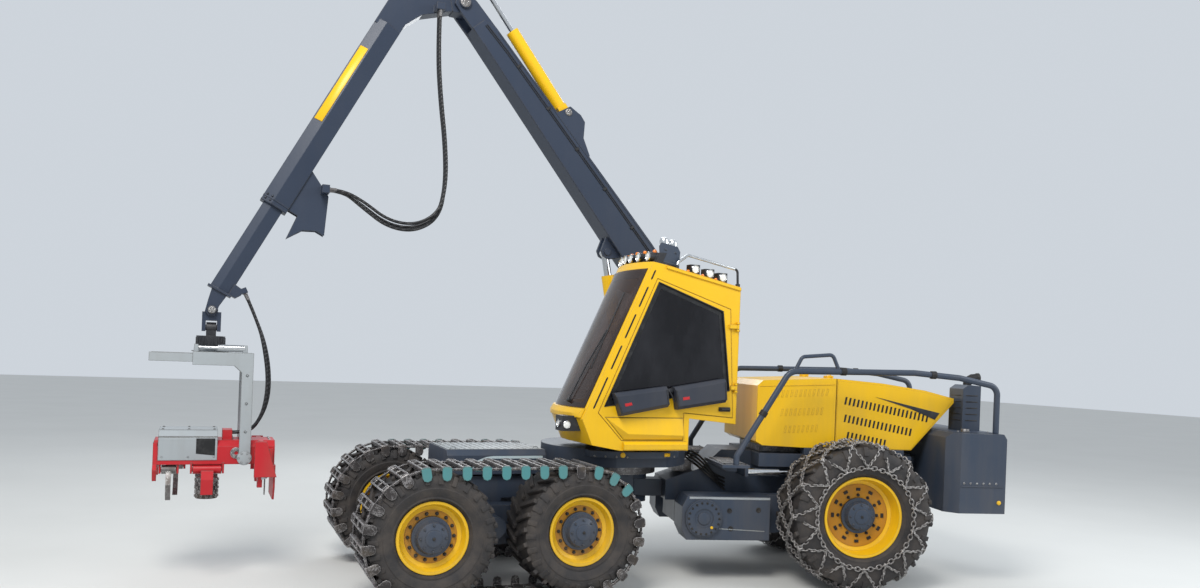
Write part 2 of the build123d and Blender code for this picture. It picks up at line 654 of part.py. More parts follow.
def main_boom():
    """A box beam that tapers to its tip, with a fork at the knuckle."""
    half = BOOM_W / 2
    outline = [
        (-110, -60), (-110, 70), (0, 130), (300, 175), (890, 190), (4110, 142), (4260, 70), (4260, -105), (883, -261), (300, -215), (0, -130),
    ]
    beam = slab(outline, -half, half)
    ear = [(4100, -110), (4100, 145), (4470, 135), (4600, 110), (4665, 0), (4600, -105), (4470, -110)]
    outer = half - 10
    inner = 106
    fork = slab(ear, inner, outer) + slab(ear, -outer, -inner)
    bosses = rod((BOOM_LENGTH, outer, 0), (BOOM_LENGTH, outer + 30, 0), 70)
    bosses += rod((BOOM_LENGTH, -outer - 30, 0), (BOOM_LENGTH, -outer, 0), 70)
    bump = [(2236, 150), (2236, 180), (2456, 250), (2600, 390), (2700, 399), (2860, 350), (2900, 150)]
    gap = STICK_EYE_W / 2 + PIN_GAP
    bracket = slab(bump, gap, half) + slab(bump, -half, -gap)
    u, n = LIFT_PIN
    lug = [(u - 200, -200), (u + 180, -200), (u + 70, n - 50), (u, n - 75), (u - 70, n - 50)]
    inner_lug = ROD_EYE_W / 2 + PIN_GAP
    lugs = slab(lug, inner_lug, inner_lug + 35) + slab(lug, -inner_lug - 35, -inner_lug)
    su, sn = STICK_BASE
    body = beam + fork + bosses + bracket + lugs
    body += pin(BOOM_LENGTH, 0, outer + 10, BOOM_PIN_R, 0)
    body += pin_heads(u, n, inner_lug, 35, 0)
    body += pin(su, sn, half, CYL_PIN_R, 0)
    body -= pin(0, 0, half + 10, BOOM_PIN_R + BORE_GAP, 0)
    return BOOM * body


def hexagon(scale_y, scale_n, middle):
    """The stick's six-sided section, in Y and across the stick."""
    table = [(75, 150), (130, 30), (92, -150)]
    right = [(scale_y * y, middle + scale_n * n) for y, n in table]
    left = [(-y, n) for y, n in reversed(right)]
    return right + left


HORN = (-458.7, 84.3)       # horn pin along and across the stick
BOOM_HOSE = [  # X and Z of the hose loop below the stick
    (2550, 6500), (2550, 6000), (2500, 5480), (2425, 4960), (2400, 4480), (2470, 4130),
    (2740, 3950), (3060, 3975), (3340, 4165), (3560, 4290), (3715, 4290),
]
BOOM_HOSE_R = 18
HEAD_HOSE = [  # X and Z of the hoses that hang to the head
    (4540, 3090), (4400, 2790), (4310, 2480), (4265, 2150), (4285, 1880), (4365, 1660), (4480, 1570), (4620, 1570),
]
HEAD_HOSE_R = 16


def stick():
    """The stick: a gooseneck at the knuckle and a hollow six-sided tube."""
    tube = section(hexagon(1, 1, STICK_OFFSET), STICK_BEND, STICK_END)
    cavity = section(hexagon(0.86, 0.88, STICK_OFFSET), STICK_BEND + 190, STICK_END + 10)
    sleeve = section(hexagon(0.9, 0.92, STICK_OFFSET), STICK_END - 80, STICK_END)
    tube = tube - cavity + (sleeve - section(extension_shape(1), STICK_END - 100, STICK_END + 20))
    neck = slab(
        [(0, 125), (130, 40), (420, 330), (640, 426), (STICK_BEND + 60, 426), (STICK_BEND + 60, 726),
         (240, 726), (-60, 560), (-330, 250), (-200, 100)],
        -92, 92,
    )
    root = slab([(-120, -30), (-80, -95), (0, -125), (80, -95), (160, 60), (0, 200), (-200, 140)], -100, 100)
    hu, hn = HORN
    horn = [(hu - 62, hn - 20), (hu - 30, hn - 60), (hu + 40, hn - 62), (-100, -60), (0, 300), (-200, 420), (hu - 20, hn + 62), (hu - 60, hn + 30)]
    inner = ROD_EYE_W / 2 + PIN_GAP
    horns = slab(horn, inner, 100) + slab(horn, -100, -inner)
    pocket = slab([(hu - 200, hn - 260), (hu + 250, hn - 260), (hu + 250, hn + 300), (hu - 200, hn + 300)], -inner, inner)
    body = (neck + root) - pocket + horns
    fin = [(2683, 430), (2831, 140), (3238, -40), (3238, 60), (3310, 185), (3480, 285), (3200, 312), (3200, 430)]
    plates = slab(fin, -70, -50) + slab(fin, 50, 70) + slab([(2840, 430), (2880, 250), (3120, 200), (3120, 430)], -60, 60)
    body += pin_heads(hu, hn, inner, 100 - inner, 0)
    body -= pin(0, 0, 120, BOOM_PIN_R + BORE_GAP, 0)
    x, z = BOOM_HOSE[0]
    block = box(x - 50, x + 50, CRANE_Y + 85, CRANE_Y + 237, z + SEAT_GAP, z + 80)
    x, z = BOOM_HOSE[-1]
    block += box(x + SEAT_GAP, x + 80, CRANE_Y + 60, CRANE_Y + 237, z - 45, z + 45)
    return STICK * (tube + body + plates) + block


def extension_shape(clear):
    """Outline of the sliding tube, or of the hole that clears it."""
    half = EXT_W / 2 + clear
    low = STICK_OFFSET - EXT_DEPTH / 2 - clear
    high = STICK_OFFSET + EXT_DEPTH / 2 + clear
    right = [(half - 34, high), (half, STICK_OFFSET + 20), (half - 30, low)]
    return right + [(-y, n) for y, n in reversed(right)]


def extension():
    """The sliding inner tube with the tip bracket for the link."""
    half = EXT_W / 2
    low = STICK_OFFSET - EXT_DEPTH / 2
    high = STICK_OFFSET + EXT_DEPTH / 2
    shape = extension_shape(0)
    tube = section(shape, STICK_END - EXT_INSIDE, 4330)
    tube -= section([(y * 0.85, STICK_OFFSET + (n - STICK_OFFSET) * 0.85) for y, n in shape], STICK_END - EXT_INSIDE - 10, 4300)
    plate = box(4330, 4352, -half - 25, half + 25, low - 22, high + 22)
    ear = [(4352, low + 20), (4352, high - 30), (4480, high - 60), (LINK_PIN_U + 45, LINK_PIN_N + 55),
           (LINK_PIN_U + 70, LINK_PIN_N), (LINK_PIN_U + 45, LINK_PIN_N - 55), (4480, low + 30)]
    gap = 60 + PIN_GAP
    ears = slab(ear, gap, gap + 30) + slab(ear, -gap - 30, -gap)
    bosses = rod((LINK_PIN_U, gap + 30, LINK_PIN_N), (LINK_PIN_U, gap + 55, LINK_PIN_N), 45)
    bosses += rod((LINK_PIN_U, -gap - 55, LINK_PIN_N), (LINK_PIN_U, -gap - 30, LINK_PIN_N), 45)
    bracket = slab([(4200, 480), (4330, 480), (4330, 400), (4270, 365), (4215, 365)], -85, 85)
    body = STICK * (tube + plate + ears + bosses + bracket + pin(LINK_PIN_U, LINK_PIN_N, gap + 40, LINK_PIN_R, 0))
    (x0, z0), (x1, z1) = HEAD_HOSE[:2]
    back = Vector(x0 - x1, 0, z0 - z1).normalized()
    start = Vector(x0, CRANE_Y, z0) + back * SEAT_GAP
    clamp = Plane(start, x_dir=(0, 1, 0), z_dir=back) * Box(170, 56, 60, align=(Align.CENTER, Align.CENTER, Align.MIN))
    return body + clamp


LX = LINK_PIN[0]
LZ = LINK_PIN[1]
SWING_Z = LZ - 190          # cross pin below the link
ROTATOR_TOP = SWING_Z - 90
ROTATOR_LOW = ROTATOR_TOP - 130


def link():
    """The two-pin link: an eye at the top and a fork at right angles below."""
    eye = rod((LX, CRANE_Y - 60, LZ), (LX, CRANE_Y + 60, LZ), 62)
    bar = box(LX - 95, LX + 95, CRANE_Y - 60, CRANE_Y + 60, SWING_Z + 75, LZ - 20)
    gap = 50 + PIN_GAP
    ear_a = section([(-60, -40), (60, -40), (60, 110), (-60, 110)], gap, gap + 39)
    ears = Pos(LX, CRANE_Y, SWING_Z) * (ear_a + mirror(ear_a, Plane.YZ))
    cross = rod((LX - gap - 30, CRANE_Y, SWING_Z), (LX + gap + 30, CRANE_Y, SWING_Z), LINK_PIN_R)
    return eye + bar + ears + cross - pin(LX, LZ, 80, LINK_PIN_R + BORE_GAP)


def rotator_housing():
    eye = rod((LX - 50, CRANE_Y, SWING_Z), (LX + 50, CRANE_Y, SWING_Z), 58)
    neck = box(LX - 50, LX + 50, CRANE_Y - 50, CRANE_Y + 50, ROTATOR_TOP - 5, SWING_Z)
    drum = Pos(LX, CRANE_Y, (ROTATOR_TOP + ROTATOR_LOW) / 2) * Cylinder(145, ROTATOR_TOP - ROTATOR_LOW)
    bore = rod((LX - 70, CRANE_Y, SWING_Z), (LX + 70, CRANE_Y, SWING_Z), LINK_PIN_R + BORE_GAP)
    return eye + neck + drum - bore


def hanger():
    """The tilt frame that carries the head: a flange, a fork-shaped beam and two arms."""
    px, pz = TILT_PIN
    flange = Pos(LX, CRANE_Y, (ROTATOR_LOW - SEAT_GAP + HANGER_TOP) / 2) * Cylinder(165, ROTATOR_LOW - SEAT_GAP - HANGER_TOP)
    beam = box(px - 60, LX + 170, CRANE_Y - ARM_IN - 36, CRANE_Y + ARM_IN + 36, HANGER_LOW, HANGER_TOP)
    prong = plan([(LX + 160, 190), (LX + 160, 305), (5455, 300), (5455, 250)], HANGER_LOW + 30, HANGER_TOP - 20)
    prongs = Pos(0, CRANE_Y, 0) * (prong + mirrored(prong))
    arm = slab(
        [(px - 60, HANGER_TOP - 5), (px + 130, HANGER_LOW), (px + 56, HANGER_LOW - 70), (px + 56, pz), (px, pz - 60), (px - 60, pz),
         (px - 60, 1900)],
        ARM_IN, ARM_IN + 36,
    )
    arms = Pos(0, CRANE_Y, 0) * (arm + mirrored(arm)) - pin(px, pz, 500, TILT_PIN_R + BORE_GAP)
    return flange + beam + prongs + arms


def head_frame():
    """The head's body: spine, end frames and pin bosses."""
    px, pz = TILT_PIN
    half = 260
    spine = section([(-half, 1250), (half, 1250), (half, 1440), (half - 60, 1500), (60 - half, 1500), (-half, 1440)], 4190, 5380)
    front = section([(-262, 1480), (262, 1480), (262, 1250), (330, 1200), (250, 1080), (180, 1200), (-180, 1200), (-250, 1080), (-330, 1200), (-262, 1250)], 5345, 5385)
    rear = section([(-300, 1500), (300, 1500), (340, 1200), (300, 1000), (200, 1000), (170, 1200), (-170, 1200), (-200, 1000), (-300, 1000), (-340, 1200)], 4310, 4360)
    pins = pin(px, pz, ARM_IN - PIN_GAP, 55, 0) + pin(px, pz, ARM_IN + 32, TILT_PIN_R, 0)
    fy, fz = FEED_PIN
    lugs = []
    for x, y, z, half_x in ((FEED_X, fy, fz, 140), (FEED_X, -fy, fz, 140), (KNIFE_X, 200, 1195, 70), (KNIFE_X - 60, -200, 1195, 70)):
        for x0 in (x - half_x - PIN_GAP - 20, x + half_x + PIN_GAP):
            lugs.append(box(x0, x0 + 20, y - 42, y + 42, z - 40, 1270))
        lugs.append(rod((x - half_x - PIN_GAP - 10, y, z), (x + half_x + PIN_GAP + 10, y, z), ARM_PIN_R))
    body = spine + front + rear + pins
    for lug in lugs:
        body += lug
    x, z = HEAD_HOSE[-1]
    body += box(x + SEAT_GAP, x + 100, -110, 110, 1490, z + 35)
    return Pos(0, CRANE_Y, 0) * body


def hoses():
    """The hose loop below the stick and the hoses that hang from its tip to the head."""
    loop = []
    for y, sag in ((117, 0), (162, -40), (207, 30)):
        points = [(x, z + (sag if 3 < i < 9 else 0)) for i, (x, z) in enumerate(BOOM_HOSE)]
        loop.append(cord(points, BOOM_HOSE_R, CRANE_Y + y))
    hanging = []
    for y, bow in ((-50, 0), (0, -18), (50, 12)):
        points = [(x + (bow if 1 < i < 5 else 0), z) for i, (x, z) in enumerate(HEAD_HOSE)]
        hanging.append(cord(points, HEAD_HOSE_R, CRANE_Y + y))
    return group(*loop), group(*hanging)


def head_cover():
    shell = section([(-230, 1500.3), (230, 1500.3), (230, 1560), (170, 1610), (-170, 1610), (-230, 1560)], 4760, 5340)
    return Pos(0, CRANE_Y, 0) * shell


def head_guards():
    """Red guards beside the spine at the saw's end, each on a lip that lies against the spine."""
    side = slab([(4170, 1120), (4280, 1500), (4400, 1500), (4400, 1120)], 345, 385)
    lip = slab([(4215, 1262), (4215, 1420), (4300, 1420), (4300, 1262)], 260 + SEAT_GAP, 350)
    guard = side + lip
    return Pos(0, CRANE_Y, 0) * group(guard, mirrored(guard))


FEED_X = 4860
FEED_PIN = (225, 1194)      # Y from the crane plane, and Z
ARM_PIN_R = 24
ROLLER_PIN_R = 30
KNIFE_X = 5230
ROLLER = (330, 1020)
ROLLER_R = 120


def feed_arm():
    """One feed arm on its long pin, with the fork that holds the roller."""
    y, z = FEED_PIN
    ry, rz = ROLLER
    sleeve = rod((FEED_X - 140, y, z), (FEED_X + 140, y, z), 48)
    web = section([(y - 30, z - 60), (y + 30, z - 10), (ry + 165, rz + 190), (ry + 190, rz + 100), (ry + 160, rz - 60), (ry + 130, rz - 60),
                   (ry + 140, rz + 100), (ry + 90, rz + 140)], FEED_X - 60, FEED_X + 60)
    top = rz + 110 + PIN_GAP
    plate = box(FEED_X - 60, FEED_X + 60, ry - 60, ry + 145, top, top + 24)
    shaft = rod((FEED_X, ry, top + 10), (FEED_X, ry, rz - 115), ROLLER_PIN_R)
    return sleeve + web + plate + shaft - rod((FEED_X - 150, y, z), (FEED_X + 150, y, z), ARM_PIN_R + BORE_GAP)


def roller():
    y, z = ROLLER
    return Pos(FEED_X, y, z) * (Cylinder(ROLLER_R, 220) - Cylinder(ROLLER_PIN_R + BORE_GAP, 230))


def knife():
    """A curved delimbing knife on its pin."""
    outline = [(175, 1200), (250, 1170), (330, 1050), (290, 930), (190, 870), (150, 872), (228, 940), (258, 1050), (215, 1130), (165, 1160)]
    blade = section(outline, KNIFE_X - 25, KNIFE_X + 25)
    sleeve = rod((KNIFE_X - 70, 200, 1195), (KNIFE_X + 70, 200, 1195), 46)
    return blade + sleeve - rod((KNIFE_X - 80, 200, 1195), (KNIFE_X + 80, 200, 1195), ARM_PIN_R + BORE_GAP)


def saw_box():
    plate = section([(-320, 1240), (320, 1240), (320, 1000), (240, 860), (-320, 860)], 4180, 4200)
    roof = section([(-320, 1180), (320, 1180), (320, 1240), (-320, 1240)], 4200, 4310 - SEAT_GAP)
    shaft = rod((4190, -245, 1110), (4285, -245, 1110), 20)
    return Pos(0, CRANE_Y, 0) * (plate + roof + shaft)


def saw_bar():
    """The cutting bar, folded back beside the saw box."""
    bar = section([(-280, 1150), (-210, 1170), (-200, 900), (-230, 840), (-270, 850)], 4245, 4257)
    hub_disc = rod((4206, -245, 1110), (4285, -245, 1110), 45)
    return Pos(0, CRANE_Y, 0) * (bar + hub_disc - rod((4190, -245, 1110), (4300, -245, 1110), 20 + BORE_GAP))


pieces["main_boom"] = main_boom()
lift_tip = boom_world(*LIFT_PIN)
pieces["lift_barrel"], pieces["lift_rod"] = hydraulic(
    (LIFT_BASE[0], CRANE_Y, LIFT_BASE[1]), lift_tip, LIFT_BARREL, LIFT_BARREL_R, LIFT_ROD_R, LIFT_EYE_W, ROD_EYE_W, 560
)
pieces["stick_barrel"], pieces["stick_rod"] = hydraulic(
    boom_world(*STICK_BASE), boom_world(*STICK_HORN), STICK_BARREL, STICK_BARREL_R, STICK_ROD_R, STICK_EYE_W, ROD_EYE_W, 350
)
pieces["stick"] = stick()
pieces["stick_extension"] = extension()
pieces["link"] = link()
pieces["rotator"] = rotator_housing()
pieces["tilt_frame"] = hanger()
pieces["head_frame"] = head_frame()
pieces["head_cover"] = head_cover()
pieces["head_guards"] = head_guards()
HEAD = Pos(0, CRANE_Y, 0)
pieces["feed_arm_left"] = HEAD * feed_arm()
pieces["feed_arm_right"] = HEAD * mirrored(feed_arm())
pieces["feed_roller_left"] = HEAD * roller()
pieces["feed_roller_right"] = HEAD * mirrored(roller())
pieces["knife_left"] = HEAD * knife()
pieces["knife_right"] = HEAD * Pos(-60, 0, 0) * mirrored(knife())
pieces["saw_box"] = saw_box()
pieces["saw_bar"] = saw_bar()
pieces["hose_boom"], pieces["hose_head"] = hoses()

# Rear frame

def rear_chassis():
    """The rear beam with its knuckle between the front frame's ears, side rails and steps."""
    half = 330
    beam = slab(
        [(REAR_FRONT, 860), (REAR_FRONT, 1100), (-760, 1250), (-1000, REAR_FRAME_TOP), (TANK_FRONT + 60, REAR_FRAME_TOP),
         (TANK_FRONT + 60, 1000), (-900, 860)],
        -half, half,
    )
    low = EAR_LOW + EAR_T + PIN_GAP
    high = EAR_TOP - EAR_T - PIN_GAP
    knuckle = box(0, REAR_FRONT - 10, -120, 120, low, high) + Pos(0, 0, (low + high) / 2) * Cylinder(120, high - low)
    knuckle -= Pos(0, 0, (low + high) / 2) * Cylinder(STEER_PIN_R + 1, high - low + 10)
    side = box(-1380, -3300, half - 5, 640, 1320, REAR_FRAME_TOP)
    step = box(-800, -1120, half - 5, RAIL_Y + 40, 1350, 1385)
    rib = slab([(-800, 1350), (-1120, 1350), (-1120, 1250), (-1000, 1250)], half - 5, half + 300)
    sill = box(-1920, -3180, 560, BONNET_HALF, REAR_FRAME_TOP - 5, BONNET_LOW - SEAT_GAP)
    lug = box(-1200, -1240, half - 5, 700, 1200, 1310)
    right = side + step + rib + sill + lug
    knee = box(-450, -850, -half, half, 600, 900)
    return beam + knuckle + knee + right + mirrored(right)


def engine():
    return box(-1450, -2700, -400, 400, REAR_FRAME_TOP + SEAT_GAP, 2180)


def bonnet_outline():
    return [
        (BONNET_FRONT, 1620), (BONNET_FRONT, 2280), (BONNET_FRONT - 70, 2348), (BONNET_SPLIT, 2396), (-2880, 2358), (-3425, 2290),
        (-3800, 2205), (-3800, 2150), (-3270, BONNET_LOW), (-1900, BONNET_LOW), (-1400, 1575),
    ]


def bonnet():
    """A hollow cover with rounded long edges, open below."""
    outer = slab(bonnet_outline(), -BONNET_HALF, BONNET_HALF)
    inner_face = offset(make_face(Polyline(*bonnet_outline(), close=True)), -BONNET_WALL)
    inner = extrude(Plane((0, BONNET_HALF - BONNET_WALL, 0), x_dir=(1, 0, 0), z_dir=(0, -1, 0)) * inner_face, 2 * (BONNET_HALF - BONNET_WALL))
    well = box(-1400, -3200, BONNET_WALL - BONNET_HALF, BONNET_HALF - BONNET_WALL, BONNET_LOW - 100, BONNET_LOW + 100)
    return outer - inner - well


def bonnet_pieces():
    shell = bonnet()
    gap = 5
    front = shell & box(BONNET_SPLIT + gap, 0, -900, 900, 0, 4000)
    rear = shell & box(-5000, BONNET_SPLIT - gap, -900, 900, 0, 4000)
    slots = []
    for row, (z, first, count) in enumerate([(2110, -2420, 9), (1900, -2420, 7), (1700, -2420, 6)]):
        for i in range(count):
            x = first - 110 * i
            slots.append(slab([(x, z), (x - 50, z + 20), (x - 50, z + 62), (x, z + 42)], -900, 900))
    for slot in slots:
        rear -= slot
    line = 2396 + 24
    for y in (-420, 420):
        front += rod((BONNET_SPLIT, y - 50, line), (BONNET_SPLIT, y + 50, line), 8)
        for lift in (-38, 38):
            front += rod((BONNET_SPLIT, y + lift - 12, line), (BONNET_SPLIT, y + lift + 12, line), 16)
            front += box(BONNET_SPLIT, BONNET_SPLIT + 50, y + lift - 12, y + lift + 12, 2385, line + 4)
        rear += rod((BONNET_SPLIT, y - 20, line), (BONNET_SPLIT, y + 20, line), 16)
        rear += box(BONNET_SPLIT - 50, BONNET_SPLIT, y - 20, y + 20, 2385, line + 4)
        rear -= rod((BONNET_SPLIT, y - 21, line), (BONNET_SPLIT, y + 21, line), 9)
    return front, rear


def tank():
    profile = [(TANK_FRONT, TANK_LOW), (TANK_FRONT, TANK_TOP - 60), (TANK_FRONT - 60, TANK_TOP), (TANK_BACK + 40, TANK_TOP),
               (TANK_BACK, TANK_TOP - 60), (TANK_BACK, TANK_LOW)]
    body = slab(profile, -TANK_HALF, TANK_HALF)
    cut = 130
    body &= plan([(TANK_FRONT, -TANK_HALF + cut), (TANK_FRONT, TANK_HALF - cut), (TANK_FRONT - cut, TANK_HALF), (TANK_BACK, TANK_HALF),
                  (TANK_BACK, -TANK_HALF), (TANK_FRONT - cut, -TANK_HALF)], TANK_LOW, TANK_TOP)
    neck = box(TANK_FRONT + 59.7, TANK_FRONT - 20, -300, 300, 1050, 1450)
    return body + neck


def exhaust():
    body = slab([(-3850, TANK_TOP + SEAT_GAP), (-3850, 2330), (-3920, 2380), (-4080, 2370), (-4080, TANK_TOP + SEAT_GAP)], 480, 800)
    return body - Pos(-3990, 640, 2300) * Cylinder(60, 300)


def rails():
    route = [(-970, RAIL_Y, 1385.3), (-970, RAIL_Y, 1480), (-1560, RAIL_Y, 2468), (-3070, RAIL_Y, 2500), (-3630, RAIL_Y, 2461),
             (-4110, RAIL_Y, 2370), (-4110, RAIL_Y, TANK_TOP + SEAT_GAP)]
    tube = bent_tube(route, RAIL_R, [60, 160, 300, 300, 120])
    hoop = bent_tube([(-1620, RAIL_Y, 2472), (-1700, RAIL_Y, 2637), (-2065, RAIL_Y, 2673), (-2151, RAIL_Y, 2482)], 22, [60, 60])
    return group(tube + hoop, mirrored(tube))


ARM_PIVOT = (-650, 750)


def pendulum():
    """The swinging arm that carries one rear wheel."""
    px, pz = ARM_PIVOT
    wheel_z = REAR_TYRE_R + CHAIN_T
    front = slab([(-400, 620), (-460, 500), (-1440, 500), (-1440, 1000), (-460, 1000), (-400, 880)], 560, 950)
    back = slab([(-1300, 520), (REAR_X - 150, 650), (REAR_X - 150, 1020), (-1300, 990)], 560, 715)
    shaft = rod((px, 330 + SEAT_GAP, pz), (px, 570, pz), 150)
    nave = rod((REAR_X, 560, wheel_z), (REAR_X, 760, wheel_z), 190)
    cover = rod((px, 945, pz), (px, 985, pz), 215)
    lug = slab([(-1840, 980), (-1960, 980), (-1890, 1310), (-1840, 1310)], 600, 700)
    return front + back + shaft + nave + cover + lug


def suspension():
    """One short cylinder between the frame and the swinging arm, with its rod."""
    start = -1240 - SEAT_GAP
    end = -1840 + SEAT_GAP
    barrel = rod((start, 655, 1255), (-1620, 655, 1255), 45)
    return barrel + rod((-1610, 655, 1255), (end, 655, 1255), 28)


def lugged_tyre():
    """A rear tyre whose tread stands on two rows of slanted lugs, half a pitch apart."""
    body = tyre(REAR_TYRE_R - LUG_H, REAR_TYRE_W, REAR_RIM_R)
    half = REAR_TYRE_W / 2
    lugs = []
    for i in range(LUGS):
        for row, side in enumerate((1, -1)):
            turn = Rot(0, 360 * (i + row / 2) / LUGS, 0)
            lug = plan([(-60, side * 10), (0, side * 10), (60, side * (half - 30)), (-10, side * (half - 30))], -70, 0)
            lugs.append(turn * Pos(0, 0, REAR_TYRE_R - 2.5) * lug)
    return body.fuse(*lugs)


def chain_net():
    """A zigzag net of square bars over the tread with a side chain on each wall."""
    half = REAR_TYRE_W / 2
    cell = 360 / CHAIN_CELLS
    rise = CHAIN_BAR / 2 + (REAR_TYRE_R + CHAIN_BAR) * (1 - math.cos(math.radians(cell / 4)))
    crown = REAR_TYRE_R + SEAT_GAP + rise
    wall = REAR_TYRE_R - 190
    bars = []
    for i in range(CHAIN_CELLS):
        for side in (1, -1):
            edge = (crown, side * (half + 6), i * cell)
            low = (wall, side * (half + 16), i * cell)
            table = [  # each end: distance from the axle, Y, turn in degrees
                (edge, (crown, 0, (i + 0.5) * cell)),
                ((crown, 0, (i - 0.5) * cell), edge),
                (edge, low),
                (low, (wall, side * (half + 16), (i + 1) * cell)),
            ]
            for start, end in table:
                bars.append(chain_bar(start, end))
    return bars[0].fuse(*bars[1:])


def chain_bar(start, end):
    """A square bar between two places given by distance from the axle, Y and turn."""
    ends = [Vector(r * math.sin(math.radians(a)), y, r * math.cos(math.radians(a))) for r, y, a in (start, end)]
    run = ends[1] - ends[0]
    middle = (ends[0] + ends[1]) / 2
    out = Vector(middle.X, 0, middle.Z)
    plane = Plane(middle, x_dir=run.cross(out), z_dir=run.normalized())
    return plane * Box(CHAIN_BAR, CHAIN_BAR, run.length + 0.8 * CHAIN_BAR)


def wheel_rear(side):
    """Tyre, rim with hub, and chain of one rear wheel."""
    z = REAR_TYRE_R + CHAIN_T
    place = Pos(REAR_X, side * TRACK_HALF, z) * Rot(0, 0, 0 if side > 0 else 180)
    half = REAR_TYRE_W / 2
    dish = 200
    disc = half - 60 - dish
    body = lugged_tyre()
    centre = rim(REAR_RIM_R, REAR_TYRE_W, dish) + hub(disc + RIM_DISC - 5, 760 - TRACK_HALF + SEAT_GAP)
    chain = chain_net()
    return place * body, place * centre, place * chain


pieces["rear_chassis"] = REAR * rear_chassis()
pieces["engine"] = REAR * engine()
bonnet_front, bonnet_rear = bonnet_pieces()
pieces["bonnet_front"] = REAR * bonnet_front
pieces["bonnet_rear"] = REAR * bonnet_rear
pieces["rear_tank"] = REAR * tank()
pieces["exhaust_box"] = REAR * exhaust()
pieces["guard_rails"] = REAR * rails()
arm = pendulum()
pieces["pendulum_arms"] = REAR * group(arm, mirrored(arm))
pieces["suspension_cylinders"] = REAR * group(suspension(), mirrored(suspension()))
for name, side in (("left", 1), ("right", -1)):
    tyre_piece, rim_piece, chain_piece = wheel_rear(side)
    pieces["rear_tyre_" + name] = REAR * tyre_piece
    pieces["rear_rim_" + name] = REAR * rim_piece
    pieces["rear_chain_" + name] = REAR * chain_piece

# Origin and files

CORDS = ("hose_boom", "hose_head")
boxes = [shape.bounding_box() for name, shape in pieces.items() if name not in CORDS]
middle_x = (min(b.min.X for b in boxes) + max(b.max.X for b in boxes)) / 2
middle_y = (min(b.min.Y for b in boxes) + max(b.max.Y for b in boxes)) / 2
ORIGIN = (round(middle_x / 10) * 10, round(middle_y / 10) * 10)

os.makedirs("parts", exist_ok=True)
for name, shape in pieces.items():
    export_step(Pos(-ORIGIN[0], -ORIGIN[1], 0) * shape, "parts/" + name + ".step")
print("origin", ORIGIN)
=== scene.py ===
import json
import math
import random

import bmesh
import bpy
from mathutils import Matrix, Vector


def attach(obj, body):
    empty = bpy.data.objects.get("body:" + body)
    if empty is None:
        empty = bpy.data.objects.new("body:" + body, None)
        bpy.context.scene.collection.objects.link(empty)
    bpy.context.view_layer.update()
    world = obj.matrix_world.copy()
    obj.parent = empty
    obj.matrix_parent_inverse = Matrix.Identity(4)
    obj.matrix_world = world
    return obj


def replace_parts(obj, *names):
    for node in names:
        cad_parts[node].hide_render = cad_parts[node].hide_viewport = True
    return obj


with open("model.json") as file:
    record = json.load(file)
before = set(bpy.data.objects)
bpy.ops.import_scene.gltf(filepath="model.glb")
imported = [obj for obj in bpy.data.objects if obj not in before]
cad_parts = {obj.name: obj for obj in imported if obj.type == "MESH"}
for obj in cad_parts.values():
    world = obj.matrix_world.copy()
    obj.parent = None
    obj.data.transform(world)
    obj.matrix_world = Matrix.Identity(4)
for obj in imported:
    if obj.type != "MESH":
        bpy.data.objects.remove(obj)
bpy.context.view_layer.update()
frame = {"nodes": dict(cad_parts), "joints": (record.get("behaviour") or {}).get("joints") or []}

# Camera
# Its place, lens and slight roll come from the wheels and uprights in the photograph. Lengths here are
# in metres from the steering pivot on the ground, which the steering joint gives in the shared frame.

JOINTS = {joint["name"]: joint for joint in frame["joints"]}
PIVOT = Vector((JOINTS["steering"]["pos_m"][0], JOINTS["steering"]["pos_m"][1], 0))
EYE = PIVOT + Vector((4.971, 10.344, 2.533))
VIEW = Vector((-0.3955, -0.9184, 0)).normalized()
UP = Vector((0, 0, 1))
ROLL = math.radians(2.21)
FOCAL_LENGTH, SENSOR_WIDTH, RISE = 27.85, 36, 0.0534

scene = bpy.context.scene
camera = bpy.data.objects.new("camera", bpy.data.cameras.new("camera"))
scene.collection.objects.link(camera)
level = Matrix((VIEW.cross(UP), UP, -VIEW)).transposed().to_4x4()
camera.matrix_world = Matrix.Translation(EYE) @ level @ Matrix.Rotation(ROLL, 4, "Z")
camera.data.lens = FOCAL_LENGTH
camera.data.sensor_width = SENSOR_WIDTH
camera.data.shift_y = RISE
camera.data.clip_end = 200
scene.camera = camera


# Light
# An overcast sky: a bright soft dome, a strong broad lamp from the camera's left, and weaker ones from its
# right and from behind the machine.

scene.view_settings.view_transform = "Standard"
world = bpy.data.worlds.new("sky")
scene.world = world
world.use_nodes = True
world.node_tree.nodes["Background"].inputs["Color"].default_value = (0.82, 0.88, 0.95, 1)
world.node_tree.nodes["Background"].inputs["Strength"].default_value = 0.75


def soft_light(name, place, target, size, power, colour):
    """A round lamp that shines from a place to a target, both in metres from the steering pivot."""
    light = bpy.data.lights.new(name, "AREA")
    light.shape = "DISK"
    light.size = size
    light.energy = power
    light.color = colour
    lamp = bpy.data.objects.new(name, light)
    scene.collection.objects.link(lamp)
    lamp.location = PIVOT + Vector(place)
    lamp.rotation_euler = (PIVOT + Vector(target) - lamp.location).to_track_quat("-Z", "Y").to_euler()


soft_light("key", (7, 8, 12), (0, 0, 1.5), 6, 1500, (1, 0.98, 0.94))
soft_light("fill", (-9, 7, 7), (-2, 0, 1.5), 7, 500, (0.93, 0.97, 1))
soft_light("back", (-3, -10, 9), (0, 0, 3), 7, 500, (0.95, 0.98, 1))


# Front tyres
# Wide forestry tyres of dusty charcoal rubber, set on their rims. Skewed tread bars show between the belt's
# shoes, and the wall has ribs and shoulder lugs.

